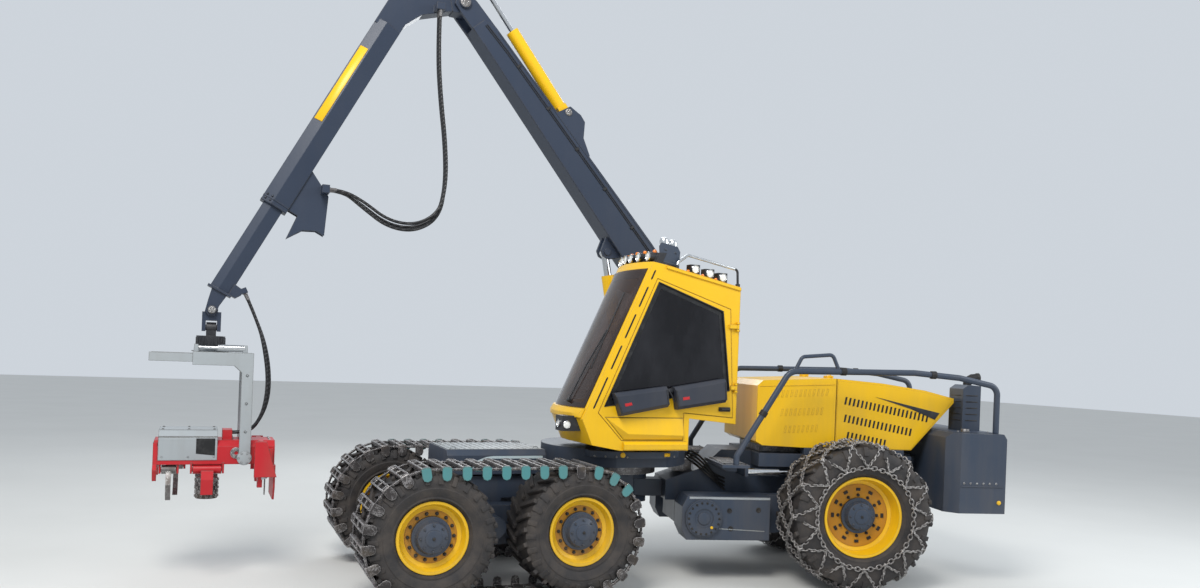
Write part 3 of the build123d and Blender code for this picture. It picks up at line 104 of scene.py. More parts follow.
class Socket:
    """A value in a material, which adds, subtracts and multiplies as a number does."""

    def __init__(self, look, output):
        self.look = look
        self.output = output

    def __add__(self, other):
        return self.look.node("Math", self, other, operation="ADD")

    def __sub__(self, other):
        return self.look.node("Math", self, other, operation="SUBTRACT")

    def __rsub__(self, other):
        return self.look.node("Math", other, self, operation="SUBTRACT")

    def __mul__(self, other):
        return self.look.node("Math", self, other, operation="MULTIPLY")

    def ramp(self, low, high):
        """0 below low, 1 above high."""
        return self.look.node("MapRange", self, low, high)

    def sine(self):
        return self.look.node("Math", self, operation="SINE")


class Look:
    """A material: node() makes any shader node and fills its inputs in order."""

    def __init__(self, name, **constants):
        self.material = bpy.data.materials.new(name)
        self.material.use_nodes = True
        self.tree = self.material.node_tree
        self.shader = self.tree.nodes["Principled BSDF"]
        for socket, value in constants.items():
            self.shader.inputs[socket.replace("_", " ")].default_value = value
        self.place = self.node("TexCoord", out="Object")
        self.axes = self.node("SeparateXYZ", self.place).outputs()

    def node(self, kind, *values, out=0, **settings):
        node = self.tree.nodes.new("ShaderNode" + kind)
        for setting, value in settings.items():
            setattr(node, setting, value)
        for socket, value in zip(node.inputs, values):
            if isinstance(value, Socket):
                self.tree.links.new(value.output, socket)
            elif value is not None:
                socket.default_value = value
        result = Socket(self, node.outputs[out])
        result.outputs = lambda: [Socket(self, output) for output in node.outputs]
        return result

    def noise(self, scale, detail=3.0, roughness=0.55, stretch=None):
        place = self.place
        if stretch:
            place = self.node("VectorMath", place, stretch, operation="MULTIPLY")
        return self.node("TexNoise", place, None, scale, detail, roughness)

    def mix(self, factor, first, second):
        node = self.tree.nodes.new("ShaderNodeMix")
        node.data_type = "RGBA"
        for index, value in ((0, factor), (6, first), (7, second)):
            if isinstance(value, Socket):
                self.tree.links.new(value.output, node.inputs[index])
            else:
                node.inputs[index].default_value = value if index == 0 else (*value[:3], 1)
        return Socket(self, node.outputs[2])

    def use(self, socket, value):
        self.tree.links.new(value.output, self.shader.inputs[socket])

    def bump(self, height, depth, normal=None):
        """The bump of a height between 0 and 1, depth metres deep, over another normal where one is given."""
        node = self.tree.nodes.new("ShaderNodeBump")
        node.inputs["Distance"].default_value = depth
        self.tree.links.new(height.output, node.inputs["Height"])
        if normal:
            self.tree.links.new(normal.output, node.inputs["Normal"])
        self.use("Normal", Socket(self, node.outputs[0]))

    def soft_edges(self, radius):
        """A normal that rounds edges, and a mask that is 1 along them."""
        node = self.tree.nodes.new("ShaderNodeBevel")
        node.samples = 4
        node.inputs["Radius"].default_value = radius
        rounded = Socket(self, node.outputs[0])
        flat = self.node("NewGeometry", out="Normal")
        along = self.node("VectorMath", rounded, flat, operation="DOT_PRODUCT", out="Value")
        return rounded, (1.0 - along).ramp(0.01, 0.15)


def rubber(name, colour, dust, gloss=0.62):
    """Dusty rubber with pale earth in its hollows."""
    look = Look(name)
    cloud = look.noise(5.0, 5.0, 0.6)
    fine = look.noise(120.0, 3.0, 0.7)
    earth = (cloud * 0.7 + fine * 0.3).ramp(0.42, 0.68) * dust
    look.use("Base Color", look.mix(earth, colour, (0.105, 0.085, 0.07)))
    look.use("Roughness", earth * 0.25 + fine * 0.12 + gloss)
    look.bump(fine * 0.5 + cloud, 0.003, look.soft_edges(0.010)[0])
    return look.material


def smooth(obj, degrees=35):
    """Smooth shading, broken at edges sharper than the angle."""
    for face in obj.data.polygons:
        face.use_smooth = True
    obj.data.set_sharp_from_angle(angle=math.radians(degrees))


def dress(look, *names):
    """Gives CAD nodes their finish; their shapes stay, shaded smooth where they curve."""
    for name in names:
        node = frame["nodes"][name]
        node.data.materials.clear()
        node.data.materials.append(look)
        smooth(node)


class Form:
    """Turned, extruded and swept shapes in one mesh, which ends as a piece that rides on a body."""

    def __init__(self):
        self.mesh = bmesh.new()

    def block(self, size, at, bevel=0.0):
        verts = bmesh.ops.create_cube(self.mesh, size=1)["verts"]
        bmesh.ops.transform(self.mesh, matrix=at @ Matrix.Diagonal((*size, 1)), verts=verts)
        if bevel:
            edges = list({edge for vert in verts for edge in vert.link_edges})
            bmesh.ops.bevel(self.mesh, geom=edges, offset=bevel, segments=2, profile=0.6, affect="EDGES")

    def turned(self, profile, at, steps=32, closed=False):
        """A profile of (radius, height) points turned about the local Z."""
        rings = []
        for step in range(steps):
            angle = 2 * math.pi * step / steps
            spoke = Vector((math.cos(angle), math.sin(angle), 0))
            ring = [spoke * radius + Vector((0, 0, height)) for radius, height in profile]
            rings.append([self.mesh.verts.new(at @ point) for point in ring])
        count = len(profile)
        for step in range(steps):
            ring, following = rings[step], rings[(step + 1) % steps]
            for i in range(count if closed else count - 1):
                j = (i + 1) % count
                self.mesh.faces.new((ring[i], following[i], following[j], ring[j]))
        if not closed:
            self.mesh.faces.new([ring[0] for ring in reversed(rings)])
            self.mesh.faces.new([ring[-1] for ring in rings])

    def ring(self, at, inner, outer, height, steps=32):
        """A flat ring standing on the local XY plane."""
        self.turned([(inner, 0), (outer, 0), (outer, height), (inner, height)], at, steps, closed=True)

    def cap(self, at, radius, foot, shoulder, height, steps=32):
        """A round cap with a straight foot and a slope from there up to its shoulder."""
        self.turned([(0, 0), (radius, 0), (radius, foot), (shoulder, height), (0, height)], at, steps)

    def prism(self, outline, low, high, at):
        """An outline of (x, y) points drawn out along the local Z."""
        bottom = [self.mesh.verts.new(at @ Vector((x, y, low))) for x, y in outline]
        top = [self.mesh.verts.new(at @ Vector((x, y, high))) for x, y in outline]
        self.mesh.faces.new(list(reversed(bottom)))
        self.mesh.faces.new(top)
        for i in range(len(outline)):
            j = (i + 1) % len(outline)
            self.mesh.faces.new((bottom[i], bottom[j], top[j], top[i]))

    def swept(self, points, radius, sides=8, closed=False, at=Matrix()):
        """A round bar along points."""
        points = [at @ Vector(point) for point in points]
        count = len(points)
        rings = []
        side = None
        for i, point in enumerate(points):
            before = points[i - 1] if i or closed else point
            after = points[(i + 1) % count] if i < count - 1 or closed else point
            way = (after - before).normalized()
            side = side or way.orthogonal()
            side = (side - way * side.dot(way)).normalized()
            other = way.cross(side)
            turns = [2 * math.pi * k / sides for k in range(sides)]
            ring = [point + (side * math.cos(turn) + other * math.sin(turn)) * radius for turn in turns]
            rings.append([self.mesh.verts.new(place) for place in ring])
        for i in range(count if closed else count - 1):
            ring, following = rings[i], rings[(i + 1) % count]
            for k in range(sides):
                j = (k + 1) % sides
                self.mesh.faces.new((ring[k], ring[j], following[j], following[k]))
        if not closed:
            self.mesh.faces.new(list(reversed(rings[0])))
            self.mesh.faces.new(rings[-1])

    def bolt(self, at, radius=0.012, height=0.012):
        """A hexagon head on its washer, standing on the local XY plane."""
        washer = 0.25 * height
        self.turned([(0, 0), (1.45 * radius, 0), (1.45 * radius, washer), (0, washer)], at, 16)
        head = [(0, washer), (radius, washer), (radius, 0.9 * height), (0.8 * radius, height), (0, height)]
        self.turned(head, at, 6)

    def sheet(self, rows, closed=False):
        """A skin over rows of points; a closed one joins its last row to the first and fills both ends."""
        rows = [[self.mesh.verts.new(point) for point in row] for row in rows]
        for row, other in zip(rows, rows[1:] + rows[:1] if closed else rows[1:]):
            for k in range(len(row) - 1):
                self.mesh.faces.new((row[k], row[k + 1], other[k + 1], other[k]))
        if closed:
            for end in (0, -1):
                self.mesh.faces.new([row[end] for row in rows])

    def on_side(self, outline, frame_at, y, thick, under=0.0):
        """An outline of (x, z) points on the side plane at y, thick metres proud of what lies under it."""
        near, far = sorted((math.copysign(under, -y), math.copysign(under + thick, -y)))
        self.prism(outline, near, far, flank(frame_at, y))

    def piece(self, name, body, slot, look, corner=35):
        """Ends the form as a piece of this look, which rides on a body."""
        bmesh.ops.recalc_face_normals(self.mesh, faces=self.mesh.faces)
        data = bpy.data.meshes.new(name)
        self.mesh.to_mesh(data)
        self.mesh.free()
        obj = bpy.data.objects.new(name, data)
        scene.collection.objects.link(obj)
        data.materials.append(look)
        smooth(obj, corner)
        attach(obj, body)
        return obj


def spot(frame_at, x, y, z):
    """A place in a frame, with X forward, Y to the left and Z up."""
    return frame_at @ Matrix.Translation((x, y, z))


def here(x, y, z):
    """A place on the front frame, in metres from the steering pivot."""
    return spot(FRONT, x, y, z)


def about(angle):
    return Matrix.Rotation(angle, 4, "Z")


def facing(at, way, up=(0, 0, 1)):
    """The same place with its local Z pointing the given way."""
    way = Vector(way).normalized()
    level = Vector(up).cross(way)
    level = level.normalized() if level.length > 1e-6 else Vector((1, 0, 0))
    axes = Matrix((level, way.cross(level), way)).transposed().to_4x4()
    return Matrix.Translation(at.translation) @ axes


FRONT = Matrix.Translation(PIVOT)
SIDES = (("left", 1), ("right", -1))
TYRE = rubber("tyre_rubber", (0.020, 0.018, 0.019), 0.55)
TRACK_HALF = 1.095
BOGIE_MIDDLE = 2.025
BOGIE_HALF = 0.79
FRONT_RADIUS = 0.655
FRONT_RIM = 0.363
TYRE_WIDTH = 0.690
FRONT_AXLE = FRONT_RADIUS + 0.0523


def wheel(x, side):
    """A front wheel's middle, with its local Z pointing outwards."""
    return facing(here(x, side * TRACK_HALF, FRONT_AXLE), (0, side, 0))


def tyre_wall(rim, radius, half):
    """Half of a tyre's profile: its bead, the ribbed wall at shares of its height, and the tread's middle."""
    tall = radius - rim
    wall = (
        (0.10, 0.028), (0.16, 0.032), (0.30, 0.010), (0.45, 0.001), (0.48, 0.006), (0.62, 0.002),
        (0.78, 0.012), (0.90, 0.045),
    )
    bead = [(rim, half - 0.075), (rim + 0.02, half - 0.050)]
    crown = [(radius - 0.035, 0.55 * half), (radius - 0.030, 0)]
    return bead + [(rim + share * tall, half - sunk) for share, sunk in wall] + crown


def tyre(form, at, rim, radius, bars, skew):
    """A tyre with skewed tread bars and a shoulder lug at the end of each."""
    half = TYRE_WIDTH / 2
    near = tyre_wall(rim, radius, half)
    far = [(r, -y) for r, y in reversed(near[:-1])]
    form.turned(near + far, at, 72, closed=True)
    for i in range(bars):
        for side in (1, -1):
            turn = at @ about(2 * math.pi * (i + (0 if side > 0 else 0.5)) / bars)
            tread = spot(turn, radius - 0.020, 0, side * 0.24 * TYRE_WIDTH)
            form.block((0.042, 0.046, 0.46 * TYRE_WIDTH), tread @ Matrix.Rotation(side * skew, 4, "X"), 0.006)
            shoulder = spot(turn, radius - 0.075, 0.02, side * (half - 0.024))
            form.block((0.105, 0.052, 0.040), shoulder @ Matrix.Rotation(side * 0.35, 4, "Y"), 0.008)


FRONT_WHEELS = [wheel(BOGIE_MIDDLE + x, side) for x in (-BOGIE_HALF, BOGIE_HALF) for side in (1, -1)]

dress(TYRE, "front_tyres")
form = Form()
for at in FRONT_WHEELS:
    tyre(form, at, FRONT_RIM, FRONT_RADIUS, 26, 0.35)
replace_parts(form.piece("front_tyre_treads", "front_frame", "rubber", TYRE), "front_tyres")


# Crawler belts
# Steel shoes, each a pair of ridged cross bars on a flat plate, joined to the next by side links. A guard
# cup hangs over the tyre's shoulder on both sides, some still in their teal paint.

def painted(name, colour, gloss=0.35, rub=0.5, dust=0.5, primer=(0.10, 0.09, 0.08)):
    """Gloss paint: rain-streaked dust grows towards the ground, and edges are rubbed to primer."""
    look = Look(name, Coat_Weight=0.10, Coat_Roughness=0.2, Specular_IOR_Level=0.32)
    normal, edge = look.soft_edges(0.012)
    patches = look.noise(0.9, 4.0)
    grain = look.noise(55.0, 4.0, 0.65)
    streaks = look.noise(6.0, 4.0, 0.6, stretch=(1.0, 1.0, 0.12))
    low = 1.0 - look.axes[2].ramp(0.2, 3.2)
    dirt = (streaks * patches).ramp(0.18, 0.52) * (low * 0.8 + 0.12) * dust
    chips = (edge * grain).ramp(0.30, 0.42) * rub
    shade = look.mix(patches.ramp(0.3, 0.7), [0.88 * c for c in colour], colour)
    shade = look.mix(dirt, shade, (0.16, 0.13, 0.095))
    look.use("Base Color", look.mix(chips, shade, primer))
    look.use("Roughness", dirt * 0.45 + chips * 0.25 + patches * 0.12 + gloss)
    look.bump(look.noise(14.0, 2.0) * 0.6 + grain * 0.15, 0.0012, normal)
    return look.material


def worn_steel(name, dark, bright, earth=0.5, gloss=0.45):
    """Dark scale, polished along its edges, with earth in its hollows."""
    look = Look(name, Metallic=0.75)
    normal, edge = look.soft_edges(0.008)
    coarse = look.noise(9.0, 5.0, 0.6)
    fine = look.noise(80.0, 4.0, 0.7)
    rubbed = (edge * 0.9 + (coarse * fine).ramp(0.22, 0.36) * 0.6).ramp(0.1, 0.9)
    mud = look.noise(4.0, 4.0, 0.6).ramp(0.5, 0.66) * (1.0 - rubbed) * earth
    look.use("Base Color", look.mix(mud, look.mix(rubbed, dark, bright), (0.10, 0.075, 0.05)))
    look.use("Metallic", (1.0 - mud) * 0.75)
    look.use("Roughness", mud * 0.4 + fine * 0.25 + gloss - rubbed * 0.12)
    look.bump(fine * 0.7 + coarse * 0.5, 0.0025, normal)
    return look.material


TEAL = painted("teal_paint", (0.065, 0.23, 0.24), 0.45, 0.8, 0.5)
TRACK = worn_steel("track_steel", (0.055, 0.050, 0.050), (0.42, 0.40, 0.40))
RIDGE = worn_steel("ridge_steel", (0.15, 0.14, 0.14), (0.68, 0.66, 0.65), 0.3, 0.34)
SHOES = 36
BELT_INNER = FRONT_RADIUS + 0.0003
RIDGE_X = 0.035
LINK_Y = 0.300
CUP_Y = 0.3485
CUP = [(0.048, 0.030), (0.048, -0.055), (0.034, -0.088), (0, -0.100)]


def on_belt(side, share):
    """A place on the belt's inside, X along its run and Z outwards, at a share of its length."""
    straight = 2 * BOGIE_HALF
    arc = math.pi * BELT_INNER
    lap, way = divmod(share * 2 * (straight + arc), straight + arc)
    angle = math.pi * lap + max(0, way - straight) / BELT_INNER
    run = (BOGIE_HALF - min(way, straight)) * (1 - 2 * (lap % 2))
    x = BOGIE_MIDDLE + run - BELT_INNER * math.sin(angle)
    z = FRONT_AXLE + BELT_INNER * math.cos(angle)
    return here(x, side * TRACK_HALF, z) @ Matrix.Rotation(-angle, 4, "Y")


def cup(form, at, side):
    """A guard cup: a bent plate with a rounded foot."""
    outline = [(-x, z) for x, z in CUP] + CUP[-2::-1]
    lean = Matrix.Rotation(side * 0.10 + math.pi / 2, 4, "X")
    form.prism(outline, -0.005, 0.005, spot(at, 0, side * CUP_Y, 0.010) @ lean)
    form.block((0.070, 0.012, 0.050), spot(at, 0, side * (CUP_Y - 0.0065), 0.026), 0.004)


dress(TRACK, "belt_left", "belt_right")
for name, side in SIDES:
    shoes, ridges = Form(), Form()
    cups = {True: Form(), False: Form()}
    chance = random.Random(11 + side)
    for i in range(SHOES):
        at = on_belt(side, (i + 0.5) / SHOES)
        following = on_belt(side, (i + 1.0) / SHOES)
        shoes.block((0.084, 0.640, 0.012), spot(at, 0, 0, 0.007), 0.004)
        for x in (-RIDGE_X, RIDGE_X):
            ridges.block((0.017, 0.660, 0.038), spot(at, x, 0, 0.030), 0.005)
        for y in (-0.24, 0, 0.24):
            ridges.block((0.054, 0.020, 0.026), spot(at, 0, y, 0.028), 0.005)
        for y in (-LINK_Y, LINK_Y):
            shoes.block((0.130, 0.030, 0.024), spot(following, 0, y, 0.016), 0.008)
            shoes.swept([(-0.012, y - 0.026, 0.018), (-0.012, y + 0.026, 0.018)], 0.013, 10, at=following)
            shoes.block((0.050, 0.046, 0.034), spot(at, 0, y, 0.030), 0.006)
        on_top = i < 11 or i > SHOES - 2
        for edge in (-1, 1):
            cup(cups[edge == side and on_top and chance.random() < 0.8], at, edge)
    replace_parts(shoes.piece("belt_shoes_" + name, "front_frame", "belt_steel", TRACK), "belt_" + name)
    ridges.piece("belt_ridges_" + name, "front_frame", "belt_steel", RIDGE)
    cups[False].piece("belt_cups_" + name, "front_frame", "belt_steel", TRACK)
    cups[True].piece("belt_painted_cups_" + name, "front_frame", "belt_steel", TEAL)


# Rear tyres
# Tall rubber tyres with long chevron bars, set on the rear rims and seen through the chains.

REAR_RADIUS = 0.822
REAR_RIM = 0.457


def rear_wheel(name, side):
    """A rear wheel's middle, with its local Z pointing outwards along the joint's axis."""
    joint = JOINTS["wheel_" + name + "_spin"]
    return facing(Matrix.Translation(Vector(joint["pos_m"])), side * Vector(joint["axis"]))


dress(TYRE, "rear_tyre_left", "rear_tyre_right")
for name, side in SIDES:
    form = Form()
    tyre(form, rear_wheel(name, side), REAR_RIM, REAR_RADIUS - 0.004, 20, 0.45)
    treads = form.piece("rear_tyre_treads_" + name, "wheel_rear_" + name, "rubber", TYRE)
    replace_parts(treads, "rear_tyre_" + name)


# Wheel chains
# A zigzag net of steel links over each rear tyre between two side chains, every second link on edge.

CHAIN = worn_steel("chain_steel", (0.17, 0.155, 0.15), (0.55, 0.53, 0.52), 0.25, 0.38)
NET_CELLS = 14
SHOULDER = 0.62
NET_LEVELS = (-0.99, -SHOULDER, -0.22, 0.22, SHOULDER, 0.99)
NET_RADIUS = REAR_RADIUS + 0.005
NET_WIRE, NET_PITCH = 0.013, 0.040
SIDE_WIRE, SIDE_PITCH = 0.015, 0.052


def chain_link(form, start, end, out, wire, edge_on):
    """One oval link between two points, flat on the tyre or turned on edge."""
    way = (end - start).normalized()
    side = (out if edge_on else way.cross(out)).normalized()
    middle = (start + end) / 2
    half = (end - start).length / 2 + 0.6 * wire
    wide = 1.55 * wire
    turns = [2 * math.pi * k / 10 for k in range(10)]
    path = [middle + way * math.cos(turn) * half + side * math.sin(turn) * wide for turn in turns]
    form.swept(path, wire / 2, 5, closed=True)


def net_point(turn, level):
    """A point over the tyre and the way out of it: level runs from -1 on one wall, over the tread, to 1."""
    reach = abs(level)
    half = TYRE_WIDTH / 2
    share = max(0, reach - SHOULDER) / (1 - SHOULDER)
    radius = NET_RADIUS - 0.030 * min(1, 3 * share) - 0.235 * share
    y = min(1, reach / SHOULDER) * (half - 0.060) + 0.066 * min(1, 2.2 * share)
    out = Vector((math.cos(turn), math.sin(turn), 0.25 * level))
    return Vector((radius * math.cos(turn), radius * math.sin(turn), math.copysign(y, level))), out


def chain_run(form, at, start, end, wire, pitch):
    """Links between two (turn, level) ends, which follow the tyre."""
    def along(share):
        return net_point(*(a + (b - a) * share for a, b in zip(start, end)))

    points = [along(k / 24)[0] for k in range(25)]
    count = max(2, round(sum((b - a).length for a, b in zip(points, points[1:])) / pitch))
    for k in range(count):
        (near, out), (far, _) = along(k / count), along((k + 1) / count)
        chain_link(form, at @ near, at @ far, at.to_3x3() @ out, wire, k % 2 == 1)


dress(TRACK, "rear_chain_left", "rear_chain_right")
for name, side in SIDES:
    form = Form()
    at = rear_wheel(name, side)
    cell = 2 * math.pi / NET_CELLS
    for i in range(NET_CELLS):
        for k, (low, high) in enumerate(zip(NET_LEVELS, NET_LEVELS[1:])):
            odd = k % 2
            start = ((i + 0.5 * odd) * cell, low)
            for shift in (0.5 - 0.5 * odd, -0.5 + 1.5 * odd):
                chain_run(form, at, start, ((i + shift) * cell, high), NET_WIRE, NET_PITCH)
        for wall in (NET_LEVELS[0], NET_LEVELS[-1]):
            turn = (i + (0.5 if wall > 0 else 0)) * cell
            chain_run(form, at, (turn, wall), (turn + cell, wall), SIDE_WIRE, SIDE_PITCH)
    chain = form.piece("rear_chain_net_" + name, "wheel_rear_" + name, "belt_steel", CHAIN, 60)
    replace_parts(chain, "rear_chain_" + name)


# Wheel fittings
# Yellow rims with a darker dish and a ring of studs round a slate hub, whose cap is bolted on and has a
# centre plug. The rear ones also have square nuts set close to the hub.

def raised(height):
    return Matrix.Translation((0, 0, height))


def ring_of(count, radius):
    """Places on a ring about the local Z."""
    return [about(2 * math.pi * k / count) @ Matrix.Translation((radius, 0, 0)) for k in range(count)]


YELLOW = painted("yellow_paint", (0.86, 0.50, 0.008), 0.28)
SLATE = painted("slate_paint", (0.040, 0.055, 0.085), 0.36)
BLACK = painted("black_paint", (0.012, 0.012, 0.014), 0.45, 0.5, 0.6)
# A thin ring over each dish, drawn a darker orange-brown than the yellow rim.
DISH = painted("dish_darker_tone", (0.52, 0.235, 0.010), 0.5, 0.8, 1.0)
FRONT_DISC, FRONT_HUB = 0.1893, 0.3245
REAR_DISC, REAR_HUB = 0.1093, 0.2393
HUB_RADIUS = 0.2005
DISH_THICK = 0.003
STUD_RING, NUT_RING, CAP_RING = 0.232, 0.296, 0.128


def rim_fittings(at, rim, disc, hub, studs, forms):
    """Dish, studs and hub cap of one rim, whose disc and hub stand this far out of the wheel's middle."""
    dish, nuts, caps = forms
    dish.ring(at @ raised(disc), HUB_RADIUS, rim - 0.098, DISH_THICK, 48)
    for place in ring_of(studs, STUD_RING):
        nuts.bolt(at @ raised(disc + DISH_THICK) @ place, 0.013, 0.030)
    caps.cap(at @ raised(hub), 0.086, 0.004, 0.070, 0.010)
    for place in ring_of(8, CAP_RING):
        caps.bolt(at @ raised(hub - 0.012) @ place, 0.009, 0.014)
    nuts.turned([(0, 0), (0.018, 0), (0.014, 0.012), (0, 0.012)], at @ raised(hub + 0.010), 6)


dress(YELLOW, "front_rims", "rear_rim_left", "rear_rim_right")
dress(SLATE, "front_hubs")
dish, nuts, caps = Form(), Form(), Form()
for at in FRONT_WHEELS:
    rim_fittings(at, FRONT_RIM, FRONT_DISC, FRONT_HUB, 14, (dish, nuts, caps))
dish.piece("front_rim_dishes", "front_frame", "yellow_paint", DISH)
nuts.piece("front_wheel_studs", "front_frame", "steel", BLACK)
caps.piece("front_hub_caps", "front_frame", "slate_paint", SLATE)
for name, side in SIDES:
    at = rear_wheel(name, side)
    dish, nuts, caps = Form(), Form(), Form()
    rim_fittings(at, REAR_RIM, REAR_DISC, REAR_HUB, 12, (dish, nuts, caps))
    for place in ring_of(12, NUT_RING):
        nuts.block((0.034, 0.050, 0.012), at @ raised(REAR_DISC + 0.006) @ place, 0.003)
    shell = [
        (0.2012, REAR_DISC), (0.2012, 0.1452), (0.1712, 0.1452), (0.1512, 0.2152), (0.0912, 0.2402),
        (0.086, 0.2402), (0.086, 0.225), (0.140, 0.205), (0.160, 0.138), (0.190, 0.138), (0.190, REAR_DISC),
    ]
    caps.turned(shell, at, 48, closed=True)
    dish.piece("rear_rim_dish_" + name, "wheel_rear_" + name, "yellow_paint", DISH)
    nuts.piece("rear_wheel_studs_" + name, "wheel_rear_" + name, "steel", BLACK)
    caps.piece("rear_hub_cap_" + name, "wheel_rear_" + name, "slate_paint", SLATE)


# Front frame and deck
# Welded slate frame with a tank deck between the belts: grey tread plate on top, a white and a teal stripe
# that sweep up along each side, and four lifting eyes.

def flank(frame_at, y):
    """The side plane at y of a frame: local X forward, Y up and Z to the right."""
    return spot(frame_at, 0, y, 0) @ Matrix.Rotation(math.pi / 2, 4, "X")


GREY = painted("grey_paint", (0.36, 0.39, 0.41), 0.42, 0.9, 0.7)
PALE = painted("pale_stripe", (0.55, 0.66, 0.70), 0.4, 0.3, 0.3)
DECK_HALF = 0.450
DECK_MIDDLE = 1.90
PLATE_MIDDLE, RIB_MIDDLE, EYE_FOOT = 1.4722, 1.4755, 1.474
LIFTING_EYE = ((-0.03, 0), (-0.02, 0.021), (0.02, 0.021), (0.03, 0))
WHITE_STRIPE = [
    (2.26, 1.235), (2.20, 1.300), (2.12, 1.358), (2.03, 1.393), (1.95, 1.403), (1.37, 1.403), (1.37, 1.372),
    (1.96, 1.372), (2.03, 1.362), (2.09, 1.335), (2.16, 1.285), (2.215, 1.235),
]
TEAL_STRIPE = [
    (2.15, 1.235), (2.09, 1.295), (2.02, 1.335), (1.95, 1.350), (1.37, 1.350), (1.37, 1.318), (1.95, 1.318),
    (2.00, 1.306), (2.05, 1.275), (2.09, 1.235),
]

dress(SLATE, "front_deck", "front_chassis", "bogie_housings")
white, teal, plate = Form(), Form(), Form()
for y in (DECK_HALF, -DECK_HALF):
    white.on_side(WHITE_STRIPE, FRONT, y, 0.0015)
    teal.on_side(TEAL_STRIPE, FRONT, y, 0.0015)
plate.block((1.10, 0.760, 0.004), here(DECK_MIDDLE, 0, PLATE_MIDDLE), 0.001)
for i in range(14):
    for k in range(9):
        tilt = about(0.8 if (i + k) % 2 else -0.8)
        plate.block((0.045, 0.009, 0.003), here(1.40 + 0.077 * i, 0.085 * (k - 4), RIB_MIDDLE) @ tilt, 0.001)
for x in (DECK_MIDDLE - 0.48, DECK_MIDDLE + 0.48):
    for y in (-0.33, 0.33):
        plate.swept([(x + reach, y, EYE_FOOT + rise) for reach, rise in LIFTING_EYE], 0.006, at=FRONT)
white.piece("deck_white_stripes", "front_frame", "grey_paint", PALE)
teal.piece("deck_teal_stripes", "front_frame", "grey_paint", TEAL)
plate.piece("deck_tread_plate", "front_frame", "grey_paint", GREY)


# Slewing platform
# The slate plate under the cab turns on a steel ring. Round its edge are bolts, a yellow plug and a blank
# yellow plate.

STEEL = worn_steel("machined_steel", (0.16, 0.15, 0.15), (0.50, 0.50, 0.50), 0.35, 0.35)
SLEW_X = 0.300
TIER_RADIUS = 1.0203
TIER_MIDDLE, TIER_BOLTS = 1.4625, 1.4400


def on_tier(turn, z):
    """A place on the round edge of the platform, looking outwards, at a turn about the slewing axis."""
    way = (math.cos(turn), math.sin(turn), 0)
    return facing(here(SLEW_X + TIER_RADIUS * way[0], TIER_RADIUS * way[1], z), way)


dress(SLATE, "platform")
dress(STEEL, "slew_ring")
plugs, bolts = Form(), Form()
plugs.cap(on_tier(1.26, TIER_MIDDLE), 0.030, 0.003, 0.020, 0.006, 20)
plugs.block((0.088, 0.042, 0.003), on_tier(1.80, TIER_MIDDLE) @ raised(0.0005), 0.001)
for turn in (0.95, 1.07, 1.19, 1.31, 1.91):
    bolts.bolt(on_tier(turn, TIER_BOLTS), 0.008, 0.008)
plugs.piece("platform_plugs", "superstructure", "yellow_paint", YELLOW)
bolts.piece("platform_bolts", "superstructure", "steel", STEEL)


# Cab front and pillars
# Yellow welded shell round a brown polycarbonate screen, which has a black frit band, a long wiper and a
# yellow ledge at its foot. The near pillar has a row of five long slots, filled with flat black painted
# shade.

def plastic(name, colour, gloss):
    """Moulded plastic with a fine grain and scuffs."""
    look = Look(name)
    grain = look.noise(220.0, 2.0, 0.5)
    scuff = look.noise(7.0, 5.0, 0.7).ramp(0.5, 0.75) * 0.35
    look.use("Base Color", look.mix(scuff, colour, (0.10, 0.10, 0.10)))
    look.use("Roughness", scuff * 0.3 + grain * 0.1 + gloss)
    look.bump(grain, 0.0006, look.soft_edges(0.008)[0])
    return look.material


def pane(name, tint, alpha):
    """Tinted polycarbonate with faint wipe marks."""
    look = Look(name, Specular_IOR_Level=0.32, Coat_Weight=0.15, Coat_Roughness=0.03)
    smear = look.noise(2.2, 5.0, 0.65, stretch=(1.0, 1.0, 0.5)).ramp(0.45, 0.8)
    look.use("Base Color", look.mix(smear, tint, [2.2 * c + 0.012 for c in tint]))
    look.use("Roughness", smear * 0.22 + 0.04)
    look.use("Alpha", smear * 0.06 + alpha)
    return look.material


def cloth():
    """Woven seat cloth."""
    look = Look("seat_cloth", Sheen_Weight=0.4)
    threads = (look.axes[1] * 1400.0).sine() * (look.axes[2] * 1400.0).sine()
    look.use("Base Color", look.mix(threads.ramp(-1.0, 1.0), (0.02, 0.02, 0.024), (0.05, 0.05, 0.056)))
    look.use("Roughness", look.noise(12.0) * 0.2 + 0.75)
    look.bump(threads, 0.0008)
    return look.material


# Black plastic; the same material is also the painted shadow of the wedge under the bonnet lid.
BLACK_PLASTIC_AND_SHADOW = plastic("black_plastic", (0.014, 0.015, 0.019), 0.42)
# Black for the screen's printed frit, and also painted shade filling slots and openings drawn as flat sheets.
BLACK_FRIT_AND_SHADE = plastic("frit_and_painted_shade", (0.004, 0.004, 0.005), 0.30)
BROWN = pane("brown_screen", (0.040, 0.024, 0.020), 0.62)
CAB_SIDE = 1.150
CAB_WIDTH = 1.210
SLOT_HEIGHTS = ((1.985, 2.330), (2.415, 2.680), (2.760, 3.030), (3.110, 3.340), (3.420, 3.530))
FRIT_FOOT, FRIT_HEAD = 1.995, 3.530


def pillar_middle(z):
    """X of the middle of the near pillar, between the door's front edge and the screen."""
    door = 1.010 - 0.655 * (z - 1.940) / 1.500
    screen = 1.190 - 0.785 * (z - 1.870) / 1.760
    return (door + screen) / 2


def screen_point(share, z, out=0.0):
    """A point on the bowed windscreen: share 0 at the near edge and 1 at the far one, at a height."""
    x = 1.190 - 0.120 * share + 4 * 0.130 * share * (1 - share) - 0.446 * (z - 1.870)
    return Vector((x + out, CAB_SIDE - CAB_WIDTH * share, z))


def lip(low, high):
    """The section of a strip over the screen: from inside it, over its face, and back."""
    return ((low, -0.010), (low, 0.004), (high, 0.004), (high, -0.010))


def evenly(low, high, count):
    """Both ends and the values that divide the way between them in count equal steps."""
    return [low + (high - low) * k / count for k in range(count + 1)]


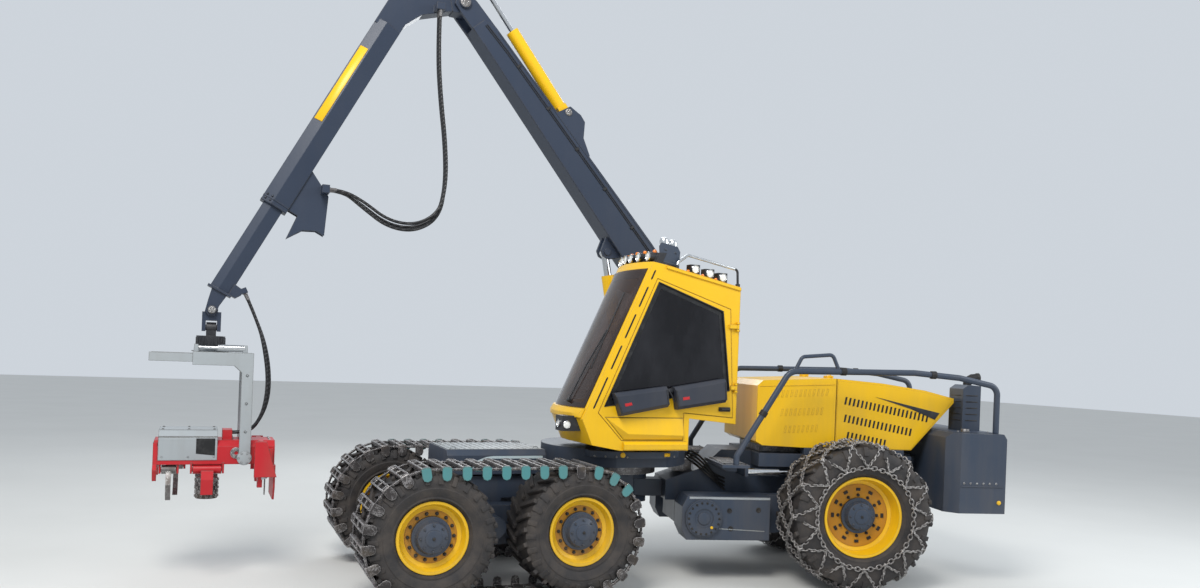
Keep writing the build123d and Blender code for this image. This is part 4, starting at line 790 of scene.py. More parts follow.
dress(YELLOW, "cab_shell")
dress(BROWN, "cab_glass")
dress(cloth(), "seat")
# The pillar's slots are flat black sheets of painted shade.
form = Form()
for low, high in SLOT_HEIGHTS:
    ends = [(low, 0.003), (low + 0.012, 0.010), (high - 0.012, 0.010), (high, 0.003)]
    rear = [(pillar_middle(z) - half, z) for z, half in ends]
    fore = [(pillar_middle(z) + half, z) for z, half in ends]
    form.on_side(rear + fore[::-1], FRONT, CAB_SIDE, 0.0015)
form.piece("pillar_slot_shades", "superstructure", "black_plastic", BLACK_FRIT_AND_SHADE)

form = Form()
shares, heights = evenly(0.05, 0.95, 16), evenly(FRIT_FOOT, FRIT_HEAD, 12)
for low, high in ((FRIT_FOOT, 2.045), (3.440, FRIT_HEAD)):
    form.sheet([[FRONT @ screen_point(share, z, out) for share in shares] for z, out in lip(low, high)])
for low, high in ((0.045, 0.085), (0.915, 0.955)):
    form.sheet([[FRONT @ screen_point(share, z, out) for z in heights] for share, out in lip(low, high)])
form.piece("screen_surround", "superstructure", "black_plastic", BLACK_FRIT_AND_SHADE)

form = Form()
pivot, tip = screen_point(0.30, 2.06, 0.034), screen_point(0.20, 2.85, 0.026)
form.swept([pivot, pivot.lerp(tip, 0.5) + Vector((0.014, 0, 0)), tip], 0.008, at=FRONT)
boss = [(0, -0.03), (0.024, -0.03), (0.024, 0.010), (0.016, 0.018), (0, 0.018)]
form.turned(boss, facing(here(*pivot), (1, 0, 0.4)), 16)
blade = [screen_point(share, z, 0.012) for share, z in zip(evenly(0.19, 0.21, 8), evenly(2.42, 3.28, 8))]
form.swept(blade, 0.010, 6, at=FRONT)
form.piece("screen_wiper", "superstructure", "black_plastic", BLACK_PLASTIC_AND_SHADOW)

form = Form()
section = ((1.985, 0.002), (1.985, 0.040), (1.930, 0.052), (1.885, 0.030), (1.885, 0.002))
shares = evenly(0.02, 0.98, 16)
form.sheet([[FRONT @ screen_point(share, z, out) for share in shares] for z, out in section], closed=True)
form.piece("screen_ledge", "superstructure", "yellow_paint", YELLOW)


# Cab door
# A black rubber bead and frit band round the window, a faceted lower panel, a handle at the rear edge and
# two roll boxes with a small blank red label each and a latch between them.

def across(frame_at):
    """The cross plane of a frame: local X to the left, Y up and Z forward."""
    return frame_at @ Matrix(((0, 0, 1, 0), (1, 0, 0, 0), (0, 1, 0, 0), (0, 0, 0, 1)))


TINTED = pane("tinted_glass", (0.004, 0.004, 0.006), 0.90)
SEAL = rubber("seal_rubber", (0.008, 0.008, 0.009), 0.12, 0.5)
RED = painted("red_paint", (0.52, 0.014, 0.022), 0.35, 0.9, 0.6)
WINDOW = [(0.940, 2.010), (0.330, 3.400), (-0.500, 3.120), (-0.620, 2.215)]
FRIT_PLANE, SEAL_PLANE = 1.1362, 1.1475
DOOR_SKIN, FACET = 1.1503, 1.192
ROLL_BOXES = [
    [(0.775, 1.912), (0.858, 2.160), (0.230, 2.249), (0.201, 2.020)],
    [(0.085, 1.991), (0.135, 2.242), (-0.510, 2.353), (-0.531, 2.083)],
]
BOX_FACE = 1.2603


def inset(outline, share):
    """An outline drawn in towards its middle."""
    x0 = sum(x for x, z in outline) / len(outline)
    z0 = sum(z for x, z in outline) / len(outline)
    return [(x0 + (x - x0) * share, z0 + (z - z0) * share) for x, z in outline]


def band(form, outer, inner, low, high, at):
    """A flat band between an outline and one inside it."""
    for i in range(len(outer)):
        j = (i + 1) % len(outer)
        form.prism([outer[i], outer[j], inner[j], inner[i]], low, high, at)


dress(YELLOW, "cab_door")
dress(TINTED, "door_glass")
dress(painted("roll_box_paint", (0.030, 0.036, 0.052), 0.40, 0.4, 0.4), "door_boxes")
form = Form()
band(form, inset(WINDOW, 0.998), inset(WINDOW, 0.90), -0.0015, 0, flank(FRONT, FRIT_PLANE))
form.piece("door_frit", "cab_door", "black_plastic", BLACK_FRIT_AND_SHADE)
form = Form()
form.swept([(x, SEAL_PLANE, z) for x, z in inset(WINDOW, 0.995)], 0.011, closed=True, at=FRONT)
form.piece("door_window_seal", "cab_door", "rubber", SEAL)

form = Form()
corners = [
    (0.930, DOOR_SKIN, 1.900), (-0.028, DOOR_SKIN, 1.900), (0.660, FACET, 1.716), (-0.028, FACET, 1.700),
    (0.700, DOOR_SKIN, 1.650), (-0.028, DOOR_SKIN, 1.650),
]
verts = [form.mesh.verts.new(FRONT @ Vector(corner)) for corner in corners]
for face in ((0, 2, 3, 1), (0, 4, 2), (2, 4, 5, 3), (1, 3, 5), (0, 1, 5, 4)):
    form.mesh.faces.new([verts[i] for i in face])
form.piece("door_lower_panel", "cab_door", "yellow_paint", YELLOW)
form = Form()
sill = [(DOOR_SKIN, 1.537), (1.178, 1.542), (1.186, 1.598), (DOOR_SKIN, 1.632)]
form.prism(sill, -0.085, 0.700, across(FRONT))
form.piece("cab_sill", "superstructure", "yellow_paint", YELLOW)

form = Form()
form.block((0.150, 0.012, 0.050), here(-0.560, 1.156, 2.000), 0.005)
grip = [(-0.620, 1.160), (-0.612, 1.192), (-0.508, 1.192), (-0.500, 1.160)]
form.swept([(x, y, 2.000) for x, y in grip], 0.010, at=FRONT)
form.piece("door_handle", "cab_door", "black_plastic", BLACK_PLASTIC_AND_SHADOW)

labels, ends = Form(), Form()
for outline in ROLL_BOXES:
    foot, head, far_head, far_foot = [Vector((x, 0, z)) for x, z in outline]
    way, up = (far_foot - foot).normalized(), (head - foot).normalized()
    start = foot + way * 0.070 + up * 0.100
    label = [start, start + way * 0.085, start + way * 0.085 + up * 0.034, start + up * 0.034]
    labels.on_side([(p.x, p.z) for p in label], FRONT, BOX_FACE, 0.0015)
    for low, high in ((0.004, 0.030), (0.970, 0.996)):
        under = [foot.lerp(far_foot, share) for share in (low, high)]
        over = [head.lerp(far_head, share) for share in (high, low)]
        strip = [(p.x, p.z + 0.030) for p in under] + [(p.x, p.z - 0.034) for p in over]
        ends.on_side(strip, FRONT, BOX_FACE, 0.004)
ends.block((0.070, 0.060, 0.045), here(0.160, 1.182, 2.205) @ Matrix.Rotation(0.15, 4, "Y"), 0.008)
ends.swept([(0.200, 1.200, 2.215), (0.165, 1.225, 2.160), (0.120, 1.215, 2.080)], 0.010, at=FRONT)
labels.piece("roll_box_labels", "cab_door", "red_paint", RED)
ends.piece("roll_box_ends", "cab_door", "black_plastic", BLACK_PLASTIC_AND_SHADOW)


# Roof lamps
# Round clear lenses in bright bezels look sideways and forwards, small amber markers stand between them,
# and a slate bracket at the near corner carries two dome lamps over a yellow gutter.

def lens():
    """Clear glass with fine rings."""
    look = Look("lamp_lens", Coat_Weight=1.0, Coat_Roughness=0.02)
    ribs = look.node("VectorMath", look.place, out="Value", operation="LENGTH") * 900.0
    look.use("Base Color", look.mix(ribs.sine().ramp(-1.0, 1.0), (0.80, 0.80, 0.76), (0.95, 0.95, 0.92)))
    look.use("Roughness", look.noise(60.0) * 0.1 + 0.08)
    look.bump(ribs.sine(), 0.0006)
    return look.material


def chrome():
    """Bright metal with a haze along it."""
    look = Look("chrome_rod", Metallic=1.0)
    haze = look.noise(40.0, 3.0, 0.6, stretch=(1.0, 6.0, 1.0))
    look.use("Base Color", look.mix(haze.ramp(0.4, 0.7), (0.72, 0.73, 0.74), (0.55, 0.56, 0.57)))
    look.use("Roughness", haze * 0.18 + 0.06)
    return look.material


LENS = lens()
CHROME = chrome()
AMBER = plastic("amber_lens", (0.85, 0.22, 0.01), 0.15)
LAMP_BAR = 3.690
BRACKET_SIDE = 1.075
BRACKET = [
    (0.300, 3.640), (0.240, 3.612), (0.060, 3.585), (0.050, 3.760), (0.085, 3.815), (0.285, 3.850),
    (0.315, 3.810),
]
BRACKET_FOOT = [(0.060, 3.590), (0.300, 3.640), (0.300, 3.652), (0.060, 3.602)]
GUARD_TUBE = [
    (0.104, 3.606), (0.095, 3.638), (0.074, 3.655), (-0.005, 3.712), (-0.027, 3.7255), (-0.052, 3.7225),
    (-0.640, 3.616),
]
BEACON = [
    (0.0555, -0.045), (0.0575, -0.045), (0.0575, 0.050), (0.045, 0.078), (0.0, 0.084), (0, 0.074),
    (0.0555, 0.05),
]
DOME = [(0, 0), (0.050, 0), (0.052, 0.035), (0.040, 0.062), (0.020, 0.074), (0, 0.077)]

dress(BLACK_PLASTIC_AND_SHADOW, "lamps")
lenses, bezels, amber, gutter, bracket = Form(), Form(), Form(), Form(), Form()


def roof_height(x):
    """Height of the sloping roof over a place along the cab."""
    return 3.600 + 0.190 * (x - 0.268) / 0.988


def round_lamp(at, radius):
    """A lamp's lens and bezel facing along the local Z."""
    glass = [(0, 0), (0.86 * radius, 0), (0.80 * radius, 0.006), (0.5 * radius, 0.010), (0, 0.012)]
    lenses.turned(glass, at, 24)
    ring = [(0.84 * radius, 0), (radius, 0), (radius, 0.012), (0.92 * radius, 0.015), (0.84 * radius, 0.008)]
    bezels.turned(ring, at, 24, closed=True)


for x in (-0.142, -0.331, -0.504):
    for y, side in ((1.1003, 1), (-0.0103, -1)):
        round_lamp(facing(here(x, y, roof_height(x) + 0.058), (0, side, 0)), 0.048)
        marker = facing(here(x + 0.095, y, roof_height(x) + 0.030), (0, side, 0))
        amber.turned([(0, 0), (0.018, 0), (0.016, 0.014), (0, 0.020)], marker, 16)
for y in evenly(0.080, 1.010, 5):
    share = (CAB_SIDE - y) / CAB_WIDTH
    x = 0.3735 - 0.120 * share + 4 * 0.130 * share * (1 - share)
    round_lamp(facing(here(x, y, LAMP_BAR), (1, 0, 0)), 0.052)
    marker = here(x - 0.080, y, LAMP_BAR + 0.0453)
    amber.turned([(0, 0), (0.024, 0), (0.024, 0.020), (0.016, 0.034), (0, 0.038)], marker, 16)
round_lamp(facing(here(1.330, 1.0503, 1.805), (0, 1, 0)), 0.044)
round_lamp(facing(here(1.3803, 0.950, 1.815), (1, 0, 0)), 0.044)
for y in (0.290, 0.810):
    amber.turned(BEACON, here(0.020, y, roof_height(0.020) + 0.105), 24, closed=True)
bracket.on_side(BRACKET, FRONT, BRACKET_SIDE, 0.010)
bracket.prism(BRACKET_FOOT, -0.012, 0.060, flank(FRONT, BRACKET_SIDE))
for x, z in ((0.110, 3.745), (0.235, 3.775)):
    bracket.bolt(facing(here(x, BRACKET_SIDE + 0.0103, z), (0, 1, 0)), 0.010, 0.010)
for x in (0.120, 0.230):
    bezels.turned(DOME, here(x, 1.030, 3.800 + 0.18 * x), 24)
for y in (CAB_SIDE, CAB_SIDE - CAB_WIDTH):
    line = [(0.250, -0.040), (0.250, -0.012), (-0.718, -0.012), (-0.718, -0.044)]
    gutter.on_side([(x, roof_height(x) + drop) for x, drop in line], FRONT, y, 0.016)
for y in (1.128, -0.038):
    bezels.swept([(x, y, z) for x, z in GUARD_TUBE], 0.0165, 12, at=FRONT)
lenses.piece("lamp_lenses", "superstructure", "tinted_glass", LENS)
bezels.piece("lamp_bezels", "superstructure", "chrome", CHROME)
amber.piece("amber_markers", "superstructure", "black_plastic", AMBER)
bracket.piece("roof_bracket", "superstructure", "slate_paint", SLATE)
gutter.piece("roof_gutter", "superstructure", "yellow_paint", YELLOW)


# Hoses
# Three hoses loop below the stick and three hang from its tip to the head, each with its own sag, dark
# rubber under a coiled guard.

def hose_rubber():
    """Black rubber under a coiled wrap."""
    look = Look("hose_wrap")
    wrap = (look.axes[2] * 130.0 + look.axes[0] * 60.0).sine().ramp(-0.6, 0.8)
    fine = look.noise(90.0, 3.0, 0.6)
    look.use("Base Color", look.mix(wrap * fine, (0.006, 0.006, 0.007), (0.035, 0.035, 0.04)))
    look.use("Roughness", fine * 0.25 + 0.32)
    look.bump(wrap, 0.003)
    return look.material


HOSE = hose_rubber()
BOOM_HOSE = [
    (2.550, 6.500), (2.550, 6.000), (2.500, 5.480), (2.425, 4.960), (2.400, 4.480), (2.470, 4.130),
    (2.740, 3.950), (3.060, 3.975), (3.340, 4.165), (3.560, 4.290), (3.715, 4.290),
]
HEAD_HOSE = [
    (4.540, 3.090), (4.400, 2.790), (4.310, 2.480), (4.265, 2.150), (4.285, 1.880), (4.365, 1.660),
    (4.480, 1.570), (4.620, 1.570),
]
LOOP_SIDES = (0.117, 0.162, 0.207)
HANG_SIDES = (-0.050, 0, 0.050)
CRANE_Y = -0.550


def hose(name, body, points, radius, replaced):
    """A hose along points, as a cord that is fast at both ends."""
    data = bpy.data.curves.new(name, "CURVE")
    data.dimensions = "3D"
    data.bevel_depth = radius
    data.bevel_resolution = 3
    data.resolution_u = 16
    spline = data.splines.new("NURBS")
    spline.points.add(len(points) - 1)
    for point, place in zip(spline.points, points):
        point.co = (*(PIVOT + Vector(place)), 1)
    spline.order_u = 3
    spline.use_endpoint_u = True
    obj = bpy.data.objects.new(name, data)
    scene.collection.objects.link(obj)
    data.materials.append(HOSE)
    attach(obj, body)
    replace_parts(obj, replaced)


dress(HOSE, "hose_boom", "hose_head")
for i, (y, sag, length) in enumerate(zip(LOOP_SIDES, (0, -0.040, 0.030), (3.45, 3.52, 3.40))):
    points = [(x, CRANE_Y + y, z + (sag if 3 < k < 9 else 0)) for k, (x, z) in enumerate(BOOM_HOSE)]
    hose(f"boom_hose_{i + 1}", "stick", points, 0.018, "hose_boom")
for i, (y, bow, length) in enumerate(zip(HANG_SIDES, (0, -0.018, 0.012), (1.80, 1.82, 1.79))):
    points = [(x + (bow if 1 < k < 5 else 0), CRANE_Y + y, z) for k, (x, z) in enumerate(HEAD_HOSE)]
    hose(f"head_hose_{i + 1}", "extension", points, 0.016, "hose_head")


# Bonnet
# Pressed yellow panels: faint slanted ribs on the fixed half, three rows of narrow slots on the lid filled
# with flat black painted shade, and a black wedge of painted shadow in the shadow gap under its rear edge.

REAR = FRONT @ Matrix.Rotation(math.radians(-15.27), 4, "Z")
BONNET_HALF = 0.680
SEAT = 0.0002
SKIN = 0.0020
LID = [
    (-2.312, 1.566), (-2.312, 2.372), (-2.880, 2.338), (-3.425, 2.270), (-3.775, 2.188), (-3.775, 2.158),
    (-3.262, 1.566),
]
# Outline of a black wedge of painted shadow, standing for the shade in the gap under the lid's rear edge.
SHADOW_WEDGE = [(-2.790, 2.193), (-3.620, 2.022), (-3.560, 1.940), (-3.250, 2.060)]
TOP_RIB = [(-1.345, 2.268), (-2.290, 2.318), (-2.290, 2.326), (-1.345, 2.276)]
SLOT_ROWS = ((-2.400, 2.135, 21), (-2.400, 1.925, 17), (-2.440, 1.725, 10))
SLOT_PITCH, RIB_PITCH = 0.052, 0.055


def slot_outline(x, z, width, tall):
    """A narrow slot that leans back as it rises."""
    return [(x, z), (x - width, z), (x - width - 0.016, z + tall), (x - 0.016, z + tall)]


dress(YELLOW, "bonnet_front", "bonnet_rear")
dress(STEEL, "engine")
skins, slot_shades, ribs, wedge_shadow = Form(), Form(), Form(), Form()
for y in (BONNET_HALF, -BONNET_HALF):
    skins.on_side(LID, REAR, y, SKIN - SEAT, SEAT)
    # The lid's slots are flat black sheets of painted shade.
    for first, z, count in SLOT_ROWS:
        for k in range(count):
            x = first - SLOT_PITCH * k
            foot = z - 0.175 * (-2.400 - x) - 0.045
            slot_shades.on_side(slot_outline(x, foot, 0.024, 0.090), REAR, y, 0.0008, SKIN + SEAT)
    for row, height in enumerate((2.150, 1.930, 1.730)):
        for k in range(12 - 2 * row):
            x = -1.560 - RIB_PITCH * k - 0.05 * row
            ribs.on_side(slot_outline(x, height + 0.02 * k / 6, 0.022, 0.085), REAR, y, 0.0023, SEAT)
    # The wedge of painted shadow under the lid's rear edge.
    wedge_shadow.on_side(SHADOW_WEDGE, REAR, y, 0.0038, SKIN + SEAT)
    ribs.on_side(TOP_RIB, REAR, y, 0.0028, SEAT)
skins.piece("lid_side_skins", "bonnet_lid", "yellow_paint", YELLOW)
slot_shades.piece("lid_slot_shades", "bonnet_lid", "black_plastic", BLACK_FRIT_AND_SHADE)
wedge_shadow.piece("lid_wedge_shadows", "bonnet_lid", "black_plastic", BLACK_PLASTIC_AND_SHADOW)
ribs.piece("bonnet_ribs", "rear_frame", "yellow_paint", YELLOW)


# Fuel and oil tank
# A broad slate tank across the tail: a bolted seam and a yellow drain plug on each side, a plate with two
# filler caps on top, and red tail lamps. The exhaust leaves a louvred cowl above it.

def outward(frame_at, x, y, z, way=None):
    """A place in a frame whose local Z points along way, or out of the side that y is on."""
    return facing(spot(frame_at, x, y, z), frame_at.to_3x3() @ Vector(way or (0, y, 0)))


TANK_HALF = 1.200
TANK_TOP = 1.8226
TANK_BACK = -4.1998
CAP_FOOT = 1.825
SEAM = [(-3.640, 1.196), (-4.165, 1.196), (-4.165, 1.212), (-3.640, 1.212)]
EXHAUST_Y = 0.640

dress(SLATE, "rear_tank", "exhaust_box")
seam, steel, plug, lamp = Form(), Form(), Form(), Form()
for y in (TANK_HALF, -TANK_HALF):
    seam.on_side(SEAM, REAR, y, 0.006)
    for k in range(6):
        steel.bolt(outward(REAR, -3.680 - 0.080 * k, y, 1.240), 0.009, 0.010)
    plug.cap(outward(REAR, -4.120, y, 1.020), 0.026, 0.008, 0.016, 0.014, 16)
seam.block((0.560, 2.10, 0.005), spot(REAR, -3.880, 0, TANK_TOP), 0.001)
steel.cap(spot(REAR, -3.780, -0.900, CAP_FOOT), 0.070, 0.030, 0.062, 0.042, 28)
steel.cap(spot(REAR, -3.780, 1.000, CAP_FOOT), 0.050, 0.026, 0.044, 0.036, 28)
for x in (-3.72, -4.10):
    for y in (-0.75, 0.05, 0.95):
        steel.bolt(spot(REAR, x, y, CAP_FOOT), 0.010, 0.010)
for side in (-1, 1):
    back = outward(REAR, TANK_BACK, 0.98 * side, 1.620, (-1, 0, 0))
    lamp.turned([(0, 0), (0.050, 0), (0.050, 0.006), (0.040, 0.014), (0, 0.018)], back, 24)
    seam.block((0.150, 0.120, 0.004), back, 0.001)
    marker = outward(REAR, -3.140, 0.6402 * side, 1.430)
    lamp.turned([(0, 0), (0.030, 0), (0.028, 0.010), (0, 0.014)], marker, 20)
seam.piece("tank_seams", "rear_frame", "slate_paint", SLATE)
steel.piece("tank_bolts_and_caps", "rear_frame", "steel", STEEL)
plug.piece("tank_plugs", "rear_frame", "yellow_paint", YELLOW)
lamp.piece("tail_lamps", "rear_frame", "red_paint", plastic("tail_lens", (0.45, 0.01, 0.01), 0.12))

form = Form()
pipe = [(-3.990, 2.150), (-3.990, 2.400), (-4.005, 2.440), (-4.045, 2.462), (-4.120, 2.470)]
form.swept([(x, EXHAUST_Y, z) for x, z in pipe], 0.050, 20, at=REAR)
form.ring(outward(REAR, -4.105, EXHAUST_Y, 2.469, (-1, 0, 0.1)), 0.044, 0.056, 0.030, 20)
for k in range(5):
    form.block((0.003, 0.240, 0.012), spot(REAR, -3.8485, EXHAUST_Y, 1.95 + 0.075 * k), 0.001)
    form.block((0.150, 0.003, 0.012), spot(REAR, -3.965, 0.8015, 1.95 + 0.075 * k), 0.001)
form.piece("exhaust_tail", "rear_frame", "black_plastic", BLACK)


# Rails and steps
# Collars clamp the guard rails, bolts hold their feet, and grip bars lie across both boarding steps.

RAIL_Y = 1.100
RAIL_CLAMPS = ((-1.265, 1.974, 0.54), (-2.20, 2.485, 1.57), (-3.30, 2.484, 1.57))

dress(SLATE, "guard_rails")
clamps, grip = Form(), Form()
for side in (1, -1):
    for x, z, lean in RAIL_CLAMPS:
        way = REAR.to_3x3() @ Vector((-math.sin(lean), 0, math.cos(lean)))
        middle = facing(spot(REAR, x, RAIL_Y * side, z), way, (0, 1, 0))
        clamps.ring(middle @ raised(-0.030), 0.0355, 0.046, 0.060, 20)
    for x in (-1.090, -0.845):
        clamps.bolt(spot(REAR, x, 1.060 * side, 1.385), 0.010, 0.012)
    for k in range(9):
        grip.block((0.250, 0.012, 0.012), spot(REAR, -0.960, (0.42 + 0.07 * k) * side, 1.391), 0.003)
clamps.piece("rail_clamps", "rear_frame", "black_plastic", BLACK)
grip.piece("step_grips", "rear_frame", "steel", STEEL)


# Swinging arms
# Heavy slate castings: a bolted ring closes the pivot, three round ports look outwards, and thin grey
# strips run along the upper and the lower edge.

PIVOT_FACE, ARM_FACE = 0.985, 0.950
TOP_EDGE = [(-0.480, 0.966), (-1.436, 0.966), (-1.436, 0.994), (-0.480, 0.994)]
LOW_EDGE = [(-0.500, 0.640), (-1.380, 0.600), (-1.380, 0.612), (-0.500, 0.652)]

dress(SLATE, "pendulum_arms")
dress(CHROME, "suspension_cylinders")
rings, ports, edge, dots = Form(), Form(), Form(), Form()
for side in (1, -1):
    hub = outward(REAR, -0.650, PIVOT_FACE * side, 0.750)
    rings.ring(hub, 0.110, 0.198, 0.010, 48)
    rings.turned([(0, 0), (0.075, 0), (0.070, 0.012), (0.030, 0.020), (0, 0.020)], hub)
    for place in ring_of(18, 0.178):
        ports.bolt(hub @ raised(0.010) @ place, 0.009, 0.010)
    for x, z in ((-0.956, 0.838), (-0.976, 0.632), (-1.300, 0.850)):
        port = outward(REAR, x, (ARM_FACE + SEAT) * side, z)
        ports.turned([(0, 0), (0.030, 0), (0.030, 0.004), (0.020, 0.002), (0, 0.002)], port, 20)
    edge.on_side(TOP_EDGE, REAR, ARM_FACE * side, 0.003)
    edge.on_side(LOW_EDGE, REAR, ARM_FACE * side, 0.003)
    grease = outward(REAR, -0.740, 0.9955 * side, 0.650)
    dots.turned([(0, 0), (0.018, 0), (0.018, 0.006), (0, 0.008)], grease, 16)
rings.piece("arm_pivot_covers", "rear_frame", "slate_paint", SLATE)
ports.piece("arm_bolts_and_ports", "rear_frame", "steel", BLACK)
edge.piece("arm_edges", "rear_frame", "grey_paint", GREY)
dots.piece("arm_grease_points", "rear_frame", "yellow_paint", YELLOW)


# Steering pipes
# Hard pipes with steel fittings leave a valve block on the rear frame's nose and dive into its flank.

VALVE_X = -0.560


def curve_through(points, count=5):
    """Points on a smooth curve through the given ones, count to each stretch."""
    points = [Vector(point) for point in (points[0], *points, points[-1])]
    curve = []
    for before, start, end, after in zip(points, points[1:], points[2:], points[3:]):
        leaving, arriving = (end - before) / 2, (after - start) / 2
        for t in (k / count for k in range(count)):
            chord = start * (2 * t**3 - 3 * t**2 + 1) + end * (3 * t**2 - 2 * t**3)
            curve.append(chord + leaving * (t**3 - 2 * t**2 + t) + arriving * (t**3 - t**2))
    return curve + [points[-1]]


dress(SLATE, "rear_chassis")
pipes, fittings = Form(), Form()
fittings.block((0.220, 0.420, 0.150), spot(REAR, VALVE_X, 0, 1.262), 0.012)
for k in range(7):
    y = -0.180 + 0.060 * k
    side = 1 if k > 2 else -1
    reach, drop = 0.365 + 0.024 * (k % 4), 0.045 * (k % 4)
    route = [
        (VALVE_X, y, 1.330), (VALVE_X + 0.005, y, 1.395), (-0.580, y + 0.05 * side, 1.440 - 0.4 * drop),
        (-0.690, side * (reach - 0.12), 1.430 - drop), (-0.800, side * reach, 1.330 - drop),
        (-0.900, side * reach, 1.200 - 0.6 * drop), (-1.060, side * 0.325, 1.130 - drop),
    ]
    pipes.swept(curve_through(route), 0.013, at=REAR)
    fittings.cap(spot(REAR, VALVE_X, y, 1.337), 0.022, 0.030, 0.016, 0.046, 6)
pipes.piece("steering_pipes", "rear_frame", "black_plastic", SEAL)
fittings.piece("steering_fittings", "rear_frame", "steel", STEEL)


# Crane and its pins
# Dark box sections, welded, and yellow cylinders with chromed rods. The large pins of the crane end in
# round caps held by six bolts.

CRANE = painted("crane_paint", (0.026, 0.038, 0.066), 0.34, 0.6, 0.35)
KNUCKLE = (2.2503, CRANE_Y, 6.6601)
BOOM = here(-0.750, CRANE_Y, 3.250) @ Matrix.Rotation(math.radians(-48.66), 4, "Y")
STICK = here(*KNUCKLE) @ Matrix.Rotation(math.radians(61.9), 4, "Y")
CRANE_MIDDLE = here(0, CRANE_Y, 0)
BOOM_PINS = ((4.542, 0.000, 0.1803, 0.062), (2.816, 0.285, 0.1603, 0.045))
PILLAR_PINS = ((-0.750, 3.250, 0.2413, 0.066), (-0.060, 2.200, 0.1063, 0.046))
LINK_PINS = ((4.560, 0.536, 0.1213, 0.040),)

dress(CRANE, "crane_pillar", "main_boom", "stick", "stick_extension", "link")
dress(YELLOW, "lift_barrel", "stick_barrel")
dress(CHROME, "lift_rod", "stick_rod")
for name, body, frame_at, pins in (
    ("boom_caps", "main_boom", BOOM, BOOM_PINS),
    ("pillar_caps", "superstructure", CRANE_MIDDLE, PILLAR_PINS),
    ("link_caps", "extension", STICK, LINK_PINS),
):
    form = Form()
    for x, z, half, radius in pins:
        cap = [
            (0, 0), (radius, 0), (radius, 0.006), (0.8 * radius, 0.012), (0.35 * radius, 0.012),
            (0.30 * radius, 0.018), (0, 0.018),
        ]
        for side in (1, -1):
            at = outward(frame_at, x, side * half, z)
            form.turned(cap, at)
            for place in ring_of(6, 0.62 * radius):
                form.bolt(at @ raised(0.010) @ place, 0.10 * radius + 0.003, 0.012)
    form.piece(name, body, "steel", STEEL)


# Boom and stick dressing
# Weld edges and clipped grease lines along the boom's box section, bolted bands round the stick's mouth
# and a blank yellow plate on its upper face.

BOOM_HALF = 0.160
BOOM_EDGES = (((0.60, 0.178), (4.05, 0.134), -0.012), ((0.883, -0.256), (4.05, -0.112), 0.012))
STICK_SECTION = [(0.079, 0.728), (0.136, 0.608), (0.097, 0.424)]
STICK_MIDDLE = 0.576
SLOPE = (0.909, 0.417)

lines = Form()
for n in (0.105, 0.082):
    line = [(0.35, n), (1.60, n), (3.80, n - 0.02), (4.20, n - 0.04)]
    lines.swept([(x, 0.164, z) for x, z in line], 0.006, 6, at=BOOM)
for x in evenly(0.60, 3.60, 5):
    lines.block((0.030, 0.014, 0.056), spot(BOOM, x, 0.165, 0.090), 0.003)
lines.piece("boom_grease_lines", "main_boom", "black_plastic", SEAL)
edges = Form()
for y in (BOOM_HALF, -BOOM_HALF):
    for (x0, z0), (x1, z1), inward in BOOM_EDGES:
        edges.on_side([(x0, z0), (x1, z1), (x1, z1 + inward), (x0, z0 + inward)], BOOM, y, 0.004)
edges.piece("boom_weld_edges", "main_boom", "slate_paint", CRANE)

form = Form()
normal, along = STICK.to_3x3() @ Vector((0, *SLOPE)), STICK.to_3x3() @ Vector((1, 0, 0))
plate_at = facing(spot(STICK, 1.656, 0.1025, 0.666), normal, along)
form.block((0.100, 1.010, 0.004), plate_at @ raised(0.0022), 0.001)
form.piece("stick_blank_plate", "stick", "yellow_paint", YELLOW)

form = Form()
outline = STICK_SECTION + [(-y, z) for y, z in STICK_SECTION[::-1]]
inner = [(y * 0.955, STICK_MIDDLE + (z - STICK_MIDDLE) * 0.965) for y, z in outline]
for x in (3.190, 3.240):
    band(form, outline, inner, x - 0.009, x + 0.009, across(STICK))
for x in (3.165, 3.215):
    for side in (1, -1):
        for shift in (-0.030, 0.030):
            y, z = 0.1055 - shift * SLOPE[1], 0.667 + shift * SLOPE[0]
            form.bolt(outward(STICK, x, side * y, z, (0, side * SLOPE[0], SLOPE[1])), 0.009, 0.010)
form.piece("stick_mouth_bands", "stick", "slate_paint", CRANE)


# Hose ends
# Each hose is crimped into a steel fitting at its clamp.

SLEEVE = [(0, 0), (0.023, 0), (0.023, 0.010), (0.0205, 0.014), (0.0205, 0.070), (0.018, 0.076), (0, 0.076)]

loop, hanging = Form(), Form()
(x0, z0), (x1, z1) = BOOM_HOSE[0], BOOM_HOSE[-1]
for y in LOOP_SIDES:
    loop.turned(SLEEVE, facing(here(x0, CRANE_Y + y, z0), (0, 0, -1), (0, 1, 0)), 12)
    loop.turned(SLEEVE, facing(here(x1, CRANE_Y + y, z1), (-1, 0, 0)), 12)
(x0, z0), (x1, z1) = HEAD_HOSE[:2]
for y in HANG_SIDES:
    slim = [(0.9 * radius, height) for radius, height in SLEEVE]
    hanging.turned(slim, facing(here(x0, CRANE_Y + y, z0), (x1 - x0, 0, z1 - z0)), 12)
loop.piece("boom_hose_fittings", "stick", "steel", STEEL)
hanging.piece("head_hose_fittings", "extension", "steel", STEEL)


# Harvester head
# Red welded body with a pale bolted cover, ribbed steel feed rollers, a slanting pale cylinder beside the
# saw housing and a round inspection port on each side.

COVER_HALF = 0.266
COVER_BACK, COVER_FRONT = 4.768, 5.338
COVER = [(COVER_HALF, 1.295), (COVER_HALF, 1.548), (0.206, 1.612)]
COVER_INSIDE = [(0.261, 1.295), (0.261, 1.502), (0.206, 1.606)]
COVER_END = [(0.206, 1.501), (0.206, 1.610), (-0.206, 1.610), (-0.206, 1.501)]
COVER_OPENING = [(4.790, 1.345), (4.975, 1.365), (4.975, 1.525), (4.790, 1.525)]
CYLINDER_Y = 0.335
ROLLER = [(0.0315, -0.110), (0.104, -0.110), (0.108, -0.104), (0.108, 0.104), (0.104, 0.110), (0.0315, 0.110)]

